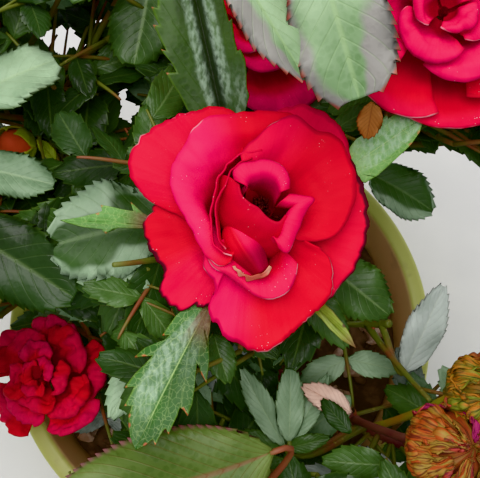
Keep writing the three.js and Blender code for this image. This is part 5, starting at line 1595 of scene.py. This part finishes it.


# How the long sepals are shown: azimuth, rise, length, roll, the side that the tip lies to, how steeply the
# halves fold up, finish, the points of the left and right margins, where the blade carries a painted sheen of
# light on its hairs, painted shade in its fold and its own ruddy tint, and the half width of its body over
# its length.
SHOWN_SEPALS = table(
    ("azimuth", "rise", "length", "roll", "end", "fold", "finish", "left", "right", "glow", "wide"),
    (104, 27, 62, -6, 0, 0.42, 3, [
        (0.2, 2.5), (0.45, 5.4), (0.5, 7.5), (0.56, 8.4), (0.6, 9.4), (0.646, 10.2), (0.639, 7.9),
        (0.68, 8.6), (0.715, 9.8), (0.732, 10.1), (0.722, 9), (0.765, 9.8), (0.796, 10.2), (0.822, 10.7),
        (0.816, 9.3), (0.845, 9.8), (0.885, 10.1), (0.876, 8.8), (0.92, 8.2), (0.945, 7), (0.945, 5.8),
        (0.98, 3.4),
    ], [
        (0.2, -2), (0.41, -3.6), (0.45, -5.6), (0.5, -7.2), (0.53, -7), (0.59, -7.7), (0.63, -8),
        (0.67, -7.4), (0.664, -6.7), (0.71, -6.6), (0.75, -6.8), (0.782, -7), (0.775, -6.2), (0.82, -6.1),
        (0.865, -6), (0.86, -5.2), (0.913, -4.6), (0.974, -2.4),
    ], {
        "sheen": [(0.14, 0.38, 0.42, 0.95, 0.6), (-0.44, -0.16, 0.5, 0.9, 0.6), (-0.9, -0.5, 0.4, 0.58, 0.4)],
        "hollow": [(-0.24, 0.2, 0.3, 1.1, 0.8), (0.3, 0.6, 0.78, 1.1, 0.4), (-0.9, -0.4, 0.72, 1.1, 0.4)],
    }, ([0, 0.4, 0.6, 0.9, 1], [2.5, 6, 8.8, 8.2, 3])),
    (28, 27, 47, 12, 0.4, 0.3, 1, [
        (0.3, 1), (0.58, 1.2), (0.62, 2.6), (0.65, 3.9), (0.7, 4.6), (0.765, 4.4), (0.745, 3.4),
        (0.78, 3.2), (0.82, 4.5), (0.88, 5.4), (0.875, 4.3), (0.9, 4.4), (0.94, 3.8), (0.945, 2.8),
        (0.98, 2),
    ], [
        (0.3, -1.2), (0.58, -3), (0.62, -4.8), (0.69, -4.9), (0.77, -4.3), (0.84, -3.8), (0.9, -3.2),
        (0.96, -2), (0.99, -0.8),
    ], {"sheen": [(-0.66, 1.2, 0.66, 1.2, 0.6)], "ruddy": [(-1, 1, 0.3, 0.5, 0.4)]},
     ([0, 0.5, 0.7, 0.9, 1], [1.2, 2.6, 4.6, 3.9, 1.5])),
    (-50, 9, 36, 30, 0.2, 0.5, 2, [(0.4, 1.6), (0.55, 1.9), (0.74, 2.5), (0.85, 1.9), (0.94, 1)], [
        (0.4, -1.2), (0.6, -1.1), (0.72, -0.9), (0.8, -1.1), (0.9, -0.9),
    ], {"hollow": [(-0.2, 0.2, 0.2, 0.9, 0.3)], "ruddy": [(-1, 1, 0.93, 1.2, 0.8)]},
     ([0, 0.5, 0.75, 1], [1, 1.7, 1.9, 0.5])),
    (-118, 9, 55, 6, 1.8, 0.3, 0, [
        (0.34, 1.3), (0.4, 2.3), (0.436, 3.1), (0.474, 3.9), (0.514, 5.1), (0.557, 6.6), (0.595, 7.5),
        (0.642, 8.4), (0.622, 6.6), (0.598, 5.3), (0.59, 4.5), (0.633, 5.5), (0.682, 6.7), (0.743, 7.9),
        (0.792, 8.3), (0.779, 6.8), (0.778, 5.9), (0.812, 6.3), (0.847, 6.4), (0.89, 6.6), (0.875, 5.5),
        (0.884, 5.2), (0.908, 5.1), (0.95, 5.2), (0.934, 4.1), (0.966, 3.3),
    ], [
        (0.34, -1.6), (0.41, -4.4), (0.456, -5.3), (0.512, -5.6), (0.55, -5.7), (0.535, -4.2), (0.57, -5),
        (0.605, -6.8), (0.634, -8), (0.655, -8.4), (0.68, -8.9), (0.66, -6.9), (0.645, -5.2),
        (0.689, -5.7), (0.738, -6.5), (0.777, -6.8), (0.81, -6.9), (0.79, -5.2), (0.818, -5.1),
        (0.847, -5.1), (0.872, -5.1), (0.86, -3.6), (0.897, -3.2), (0.931, -2.1), (0.965, -0.6),
    ], {
        "sheen": [(-0.8, -0.08, 0.44, 0.86, 0.55), (0.1, 0.6, 0.5, 0.66, 0.2)],
        "ruddy": [(-0.4, 0.9, 0.2, 0.5, 0.7)],
        "hollow": [(0.05, 1.3, 0.5, 0.8, 0.35), (-1, 1, 0.88, 1.2, 0.3)],
    }, ([0, 0.35, 0.5, 0.62, 0.8, 0.92, 1], [1, 1.9, 4.6, 6.6, 6.6, 4, 1])),
    (177, 13, 43, -8, 1.4, 0.4, 1, [
        (0.35, 1), (0.54, 1.2), (0.66, 1.7), (0.7, 1.8), (0.755, 3.4), (0.78, 2.5), (0.88, 2.5),
        (0.95, 1.9),
    ], [
        (0.35, -1), (0.53, -1.6), (0.57, -2.2), (0.64, -4.4), (0.62, -2.4), (0.68, -2.5), (0.76, -3),
        (0.795, -3.1), (0.785, -1.7), (0.81, -1.1), (0.88, 0), (0.95, 0.9),
    ], {"ruddy": [(-1.2, 1.2, 0.2, 0.62, 0.8)], "hollow": [(0.2, 1.2, 0.6, 0.9, 0.25)]},
     ([0, 0.5, 0.7, 0.85, 1], [1, 1.8, 2.8, 2, 0.6])),
)


def make_leafy_sepals(head):
    """The long sepals of the large bloom, lobed and toothed like leaves, from under the hip's brim."""
    bag = Bag()
    for k, sepal in enumerate(SHOWN_SEPALS):
        along = aimed(sepal["azimuth"], sepal["rise"])
        blade = {**sepal, "base": head.brim(along), "along": along, "face": face_of(along, sepal["roll"])}
        sheet, facts = lobed_sheet(blade, k)
        facts.update(glow_facts(facts, sepal["glow"]))
        add_plates(bag, sheet, FINE_LEAF_THICKNESS, sepal["finish"], **facts)
    piece("sepals_large", bag, [SEPAL_LEAF, PALE_SEPAL, SLIM_SEPAL, DARK_SEPAL], [head.name])


def make_large_bloom(head):
    """The large open bloom: petals from their lips, the tongue over its middle, stamens and dried bits."""
    turn, origin = large_frame(head)
    petals = Bag()
    for k, petal in enumerate(LARGE_PETALS):
        sheet = lip_sheet(petal, 36, 84, 50 + k)
        add_petal(petals, sheet @ turn + origin, 60 + 5 * k, petal["flush"], petal["dry"])
    wall = loft_sheet(CUP_WALL, 40, 70)
    add_petal(petals, wall @ turn + origin, 190, flush=(0, 1, 0.95, 0.2), dry=0.1, shaded=0.3)
    tongue = tongue_sheet((2.6, -8.2), (-4.2, 2.6), 4.3, 10.5, 15.2, 30, 40)
    add_petal(petals, tongue @ turn + origin, 195, flush=(0.5, 1.2, 0, 0.6), dry=0.1, thickness=0.4)
    dried = loft_sheet(DRIED_RIM, 6, 50)
    dried = dried + 0.25 * ripples(dried, 2.2, 197)[..., None]
    add_petal(petals, dried @ turn + origin, 196, slot=1, thickness=0.3)
    piece("petals_large", petals, [RED_PETAL, CREAM_PETAL], [head.name])
    heart = Bag()
    make_stalk(heart, head)
    rng = np.random.default_rng(77)
    for k in range(STAMENS):
        foot = np.array([2.4 + rng.normal(0, 1.0), 6 + rng.normal(0, 1.0), 2])
        tip = foot + np.array([rng.normal(0, 1.6), 1 + rng.normal(0, 1.6), rng.uniform(4, 7)])
        bend = (foot + tip) / 2 + rng.normal(0, 0.5, 3)
        path = bezier([foot, bend, tip], np.linspace(0, 1, len(STAMEN_RADII))) @ turn + origin
        heart.add(*tube(path, STAMEN_RADII, 6), slot=1)
    piece("heart_large", heart, [GREEN_BARK, STAMEN_BROWN])


def ring_petals(row, rings):
    """The petals of a flower's rings by the source's rule, from the outside in."""
    chance = seeded(row["seed"])
    made = []
    for ring, (count, reach, height, belly, roll, start) in enumerate(rings):
        for k in range(count):
            made.append(dict(
                turn=start + 360 * k / count + 20 * (chance() - 0.5), half=min(178 / count, 64),
                reach=row["radius"] * reach * (0.94 + 0.1 * chance()),
                height=row["depth"] * height * (0.92 + 0.16 * chance()), belly=belly,
                roll=roll * (0.4 + 0.8 * chance()), skew=0.1, lift=2.4 * ring, wave=1.4 * chance(),
            ))
    return made


# The rings of petals of each kind of flower: count, reach, height, belly, roll of the lip, first azimuth.
RINGS = {
    "open": [(5, 1, 0.6, 0.8, 2.4, 0), (3, 0.64, 1, 0.55, 1.6, 60), (3, 0.4, 1.02, 0.5, 1.0, 0)],
    "full": [
        (3, 1.02, 0.5, 0.9, 1.0, 44), (3, 0.92, 0.62, 0.85, 1.2, 100), (3, 0.62, 0.9, 0.6, 2.4, 62),
        (3, 0.44, 1, 0.5, 1.6, 0), (3, 0.26, 1.04, 0.5, 0.8, 60),
    ],
    "blown": [
        (5, 1.05, 0.5, 0.9, 2.4, 10), (4, 0.84, 0.72, 0.7, 2.2, 50), (4, 0.56, 0.95, 0.55, 1.6, 0),
        (3, 0.32, 1.0, 0.5, 0.8, 30),
    ],
}


def plain_sepals(head, number, rise, length):
    """Five plain sepals spread round a flower's axis, each leaning toward it by the rise."""
    side = face_of(head.axis, 0)
    size = dict(length=length, width=length * 0.32, arch=0.05)
    blades = []
    for k in range(5):
        along = unit(turned_about(side, head.axis, 31 * number + 72 * k) + head.axis * rise)
        blades.append(dict(size, base=head.brim(along), along=along, face=face_of(along, 0)))
    return blades


# How the spent flowers lean, as degrees from their axis and the azimuth of the lean, their finish, and how
# far they sit beside their stalk.
SPENT = {
    "faded_head_low": (24, 14, RUST_PETAL, (-1.5, -0.5, 0)),
    "faded_head_high": (14, -40, OLIVE_PETAL, (-2.5, -2.5, 0)),
}

# A closed spent flower's outline: shares of its height and of its radius.
SPENT_OUTLINE = ([0, 0.12, 0.3, 0.55, 0.8, 0.94, 1], [0.36, 0.8, 0.98, 1, 0.78, 0.5, 0.14])

# How many petals are shut over it, and how many of them are long.
SPENT_PETALS = 14
SPENT_LONG_PETALS = 9


def make_spent(head, petals):
    """A spent flower: a closed egg, and petals shut over it that are pleated along, overlap each other
    and curl off at their sides and lips. All of it leans over."""
    row = head.row
    lean, way, finish, shift = SPENT[row["name"]]
    side = aimed(way + 90, 0)
    wide, tall = row["radius"] * 1.06, row["depth"] * 1.12

    def leaned(points):
        axes = np.array([turned_about(axis, side, lean) for axis in np.eye(3)])
        return head.placed(points @ axes) + np.array(shift)

    t, angle = np.linspace(0, 1, 30)[:, None], full_turn(90)[None, :]
    out = wide * 0.84 * np.interp(t, *SPENT_OUTLINE) * (1 + 0.07 * np.sin(13 * angle + 3 * t))
    points, faces = closed_rings(round_sheet(out, angle, t * tall))
    height = clamp01(points[:, 2] / tall)
    round_share = np.arctan2(points[:, 1], points[:, 0]) / math.pi
    petals.add(leaned(points), faces, petal_along=height, petal_across=round_share, flush=0, edge=0, dry=0)
    rng = np.random.default_rng(row["seed"])
    v, u = grid(34, 44)
    for k in range(SPENT_PETALS):
        reach = rng.uniform(0.92, 1.1) if k < SPENT_LONG_PETALS else rng.uniform(0.55, 0.8)
        bulge = 0.6 + 0.4 * np.sin(math.pi * np.minimum(v * 1.1, 1)) ** 0.6
        half = math.radians(rng.uniform(26, 40)) * bulge
        middle = LEAF_TURN * k + 20
        turn = math.radians(middle) + half * u + 0.35 * v * rng.uniform(-1, 1)
        t = v * reach * (1 - 0.1 * np.abs(u) ** 3)
        pleat = 0.45 * np.sin(rng.uniform(7, 10) * u + 3 * v + k) * smooth_step(0.05, 0.3, v)
        curl = 1.3 * np.abs(u) ** 4 * rng.uniform(0.3, 1) + rng.uniform(0.2, 1.2) * smooth_step(0.8, 1, v)
        out = wide * (0.93 + 0.035 * (k % 4)) * np.interp(t, *SPENT_OUTLINE)
        out = out + pleat + curl * smooth_step(0.1, 0.5, v)
        sheet = leaned(round_sheet(out, turn, t * tall))
        flush = (0, 1, 0.3, 0.9) if abs(middle % 360 - 80) < 30 else (0.7, 1, 0.9, 0.3)
        add_petal(petals, sheet, row["seed"] * 7 + k, flush, dry=0.3, thickness=0.4, crumple=0.45)
    return finish


# The stalks that aren't plain green, by the slot of their calyx.
STALK_SLOTS = {"faded_head_low": 4, "faded_head_high": 1}

# How crumpled the outer petals and the inner ones of each kind are, and how many count as outer.
CRUMPLES = {"open": (0.2, 0.25), "full": (0.2, 0.3), "blown": (1.0, 1.0)}
OUTER_PETALS = 6


def make_flower(head, number):
    """A smaller flower, a spent one or a bud, with its stalk, hip and sepals."""
    row = head.row
    kind = "blown" if row["name"] == "bloom_front_left" else row["kind"]
    green, petals = Bag(), Bag()
    make_stalk(green, head, STALK_SLOTS.get(row["name"], 0))
    finish = {"blown": DARK_PETAL, "bud": BUD_PETAL}.get(kind, RED_PETAL)
    if kind == "bud":
        make_bud(head, petals, green)
    else:
        rise, slot, share = (0.5, 3, 0.6) if kind == "faded" else (-0.1, 2, 1)
        sepals = plain_sepals(head, number, rise, row["sepal"] * share)
        sheet, s, c = blade_sheets(sepals, 4, 9, depth=0.1, fold=0.2, seed=number)
        add_plates(green, sheet, SEPAL_THICKNESS, slot, **leaf_layout(s, c))
    if kind == "faded":
        finish = make_spent(head, petals)
    for k, petal in enumerate(ring_petals(row, RINGS.get(kind, []))):
        inner = k >= OUTER_PETALS
        sheet = head.placed(petal_sheet(petal, 26, 44))
        flush = (0, 1, 0.7, 0.8) if k % 3 == 1 else (0.1, 0.6, 0.6, 0.5)
        if kind == "full":
            flush = (0, 1, 0.4, 0.8) if inner else (0.3, 1, 0.8, 0.3)
        crumple = CRUMPLES[kind][inner]
        add_petal(petals, sheet, row["seed"] * 7 + k, flush, dry=0.25, thickness=0.4, crumple=crumple)
    piece("petals_" + row["name"], petals, [finish], [row["name"]])
    finishes = [GREEN_BARK, STALK_GREEN, BUD_LEAF if kind == "bud" else SEPAL_LEAF, WITHERED_LEAF, RED_BARK]
    piece("calyx_" + row["name"], green, finishes, [row["name"]])


# A bud's outline and that of the sepals that hug it, as shares of its depth and of its radius, how far up
# each sepal reaches, and half the angle that it spans at its foot.
BUD_OUTLINE = ([0, 0.15, 0.4, 0.72, 0.92, 1], [0.5, 0.8, 1, 0.74, 0.4, 0.12])
HUG_OUTLINE = ([0, 0.15, 0.4, 0.72, 0.92, 1.04], [0.55, 0.86, 1.06, 0.87, 0.56, 0.22])
HUG_REACHES = (1.02, 1.04, 0.98, 0.6, 0.78)
HUG_HALF = 42


def make_bud(head, petals, green):
    """A bud: an egg of wrapped petals, and five sepals that hug it and part at its tip. Each wrap steps
    out where its petal ends, and a sepal narrows late, by the fifth power of its length."""
    radius, depth = head.row["radius"], head.row["depth"]
    t, angle = np.linspace(0, 1, 24)[:, None], full_turn(40)[None, :]
    wrap = 1 + 0.05 * ((angle / (2 * math.pi) * 3 + t * 1.2) % 1)
    out = radius * np.interp(t, *BUD_OUTLINE) * wrap * 0.94
    points, faces = closed_rings(round_sheet(out, angle, t * depth))
    height = clamp01(points[:, 2] / depth)
    petals.add(head.placed(points), faces, petal_along=height, petal_across=0.5, flush=0.15, edge=9, dry=0)
    v, u = grid(20, 9)
    half = math.radians(HUG_HALF) * np.maximum(1 - v**5, 0.03)
    for k, reach in enumerate(HUG_REACHES):
        turn = math.radians(72 * k + 31) + half * u
        t = v * reach
        far = radius * np.interp(t, *HUG_OUTLINE)
        far = far * (1.02 + 0.03 * u) + (0.4 + 0.5 * (k % 3)) * smooth_step(0.6, 1, v)
        sheet = head.placed(round_sheet(far, turn, t * depth))
        facts = {"blade_along": v, "blade_across": (u + 1) / 2, "tooth": 0.0}
        add_plates(green, sheet[None], SEPAL_THICKNESS, 2, **facts)


# A few more leaflets and a withered bract at places of their own: base, azimuth, rise, length, width, kind.
MORE_LEAVES = [
    ((21, -41, 178), 55, 16, 22, 8, "grey"), ((20, -42.5, 178), 12, 17, 13, 6, "green"),
    ((35.5, 28.3, 256), -95, -45, 8.5, 6.5, "brown"), ((19, -43, 177), 160, 14, 15, 8, "green"),
    ((1, -16, 221), -75, 2, 12, 9, "green"), ((24, -2, 219), -70, -6, 19, 11, "green"),
    ((-48, 41, 187), 129, 23, 8, 4.5, "lime"), ((38, -33, 187), 150, 5, 15, 9, "dry"),
    ((37.1, -38.5, 191), 130, -5, 11.5, 6.5, "deep"),
]


def make_set_leaves():
    """The leaflets that stand where the bush shows them from above, finer than the rest, with small ones
    along the twigs of the first two."""
    bag = Bag()
    finishes = {
        "young": YOUNG_LEAF, "long": LONG_LEAF, "deep": DEEP_LEAF, "grey": GREY_SHEEN_LEAF, "green": GREEN_LEAF,
        "silver": SILVER_SHEEN_LEAF, "brown": WITHERED_LEAF, "edged": EDGED_SHEEN_LEAF, "lime": BUD_LEAF, "dry": DRY_LEAF,
    }
    kinds = list(finishes)
    arching = [(row, share) for row in SET_LEAVES[:2] for share in (0.3, 0.42, 0.54, 0.66, 0.78, 0.88)]
    beside = []
    for number, (row, share) in enumerate(arching):
        twig = bezier(twig_and_blade(row)[0], np.array([share, share + 0.01]))
        turn = math.degrees(math.atan2(*(twig[1] - twig[0])[1::-1])) + (75 if number % 2 else -75)
        beside.append((twig[0], turn, 8 - 20 * (number % 3 == 2), 17 + number % 3, 11, "green"))
    more = table(("base", "azimuth", "rise", "length", "width", "kind"), *MORE_LEAVES, *beside)
    for blade in more:
        along = aimed(blade["azimuth"], blade["rise"])
        blade.update(base=np.array(blade["base"], float), along=along, face=face_of(along, 0))
    for k, blade in enumerate(SET_BLADES + more):
        teeth = 26 if blade["kind"] == "long" else 14 if blade["width"] > 12 else 9
        sheet, s, c = blade_sheets([blade], teeth, 15, depth=0.07, fold=0.2, seed=90 + k, point=0.5)
        add_plates(bag, sheet, FINE_LEAF_THICKNESS, kinds.index(blade["kind"]), **leaf_layout(s, c))
    piece("leaves_set", bag, list(finishes.values()))


make_pot()
make_soil()
make_canes()
for number, shoot in enumerate(SHOOT_LIST):
    make_foliage(shoot, 300 + number)
make_set_leaves()
for number, head in enumerate(HEADS):
    if head.row["kind"] == "large":
        make_large_bloom(head)
        make_leafy_sepals(head)
    else:
        make_flower(head, number)


# The camera, the floor and the light, in metres: how far the floor goes out, how far it lies below the
# pot's foot, and how strong the sky is.
FLOOR_REACH = 3
FLOOR_DROP = 0.0005
SKY_STRENGTH = 0.58
camera = linked("camera", bpy.data.cameras.new("camera"))
camera.data.lens = CAMERA_LENS
camera.data.sensor_width = SENSOR_WIDTH
camera.location = CAMERA_PLACE * MM
camera.rotation_euler = (math.radians(CAMERA_LEAN), 0, 0)
bpy.context.scene.camera = camera

floor_mesh = bpy.data.meshes.new("floor")
floor_mesh.from_pydata(
    [(-FLOOR_REACH, -FLOOR_REACH, 0), (FLOOR_REACH, -FLOOR_REACH, 0), (FLOOR_REACH, FLOOR_REACH, 0),
     (-FLOOR_REACH, FLOOR_REACH, 0)], [], [(0, 1, 2, 3)],
)
floor = linked("floor", floor_mesh)
floor.location.z = -FLOOR_DROP
floor_mesh.materials.append(plain_finish("floor_pale", (217, 216, 215), (211, 210, 210), 30, 0.8, 0.05))


def add_light(name, place, target, size, power, colour):
    """A square light at a place that shines toward a target."""
    light = bpy.data.lights.new(name, "AREA")
    light.size, light.energy, light.color = size, power, colour
    made = linked(name, light)
    made.location = place
    way = np.array(target, float) - np.array(place, float)
    made.rotation_euler = (math.atan2(np.hypot(way[0], way[1]), -way[2]), 0, math.atan2(-way[0], way[1]))


add_light("sky_light", (-0.45, 0.55, 1.6), (0, 0, 0.2), 1.2, 13, (1.0, 0.98, 0.94))
add_light("top_light", (0.02, -0.15, 1.7), (0, 0, 0.1), 0.9, 13, (1.0, 0.99, 0.97))
bpy.context.scene.view_settings.view_transform = "Khronos PBR Neutral"
world = bpy.data.worlds.new("studio")
world.use_nodes = True
bpy.context.scene.world = world
sky = world.node_tree.nodes["Background"].inputs
sky["Color"].default_value = (0.95, 0.97, 1.0, 1)
sky["Strength"].default_value = SKY_STRENGTH
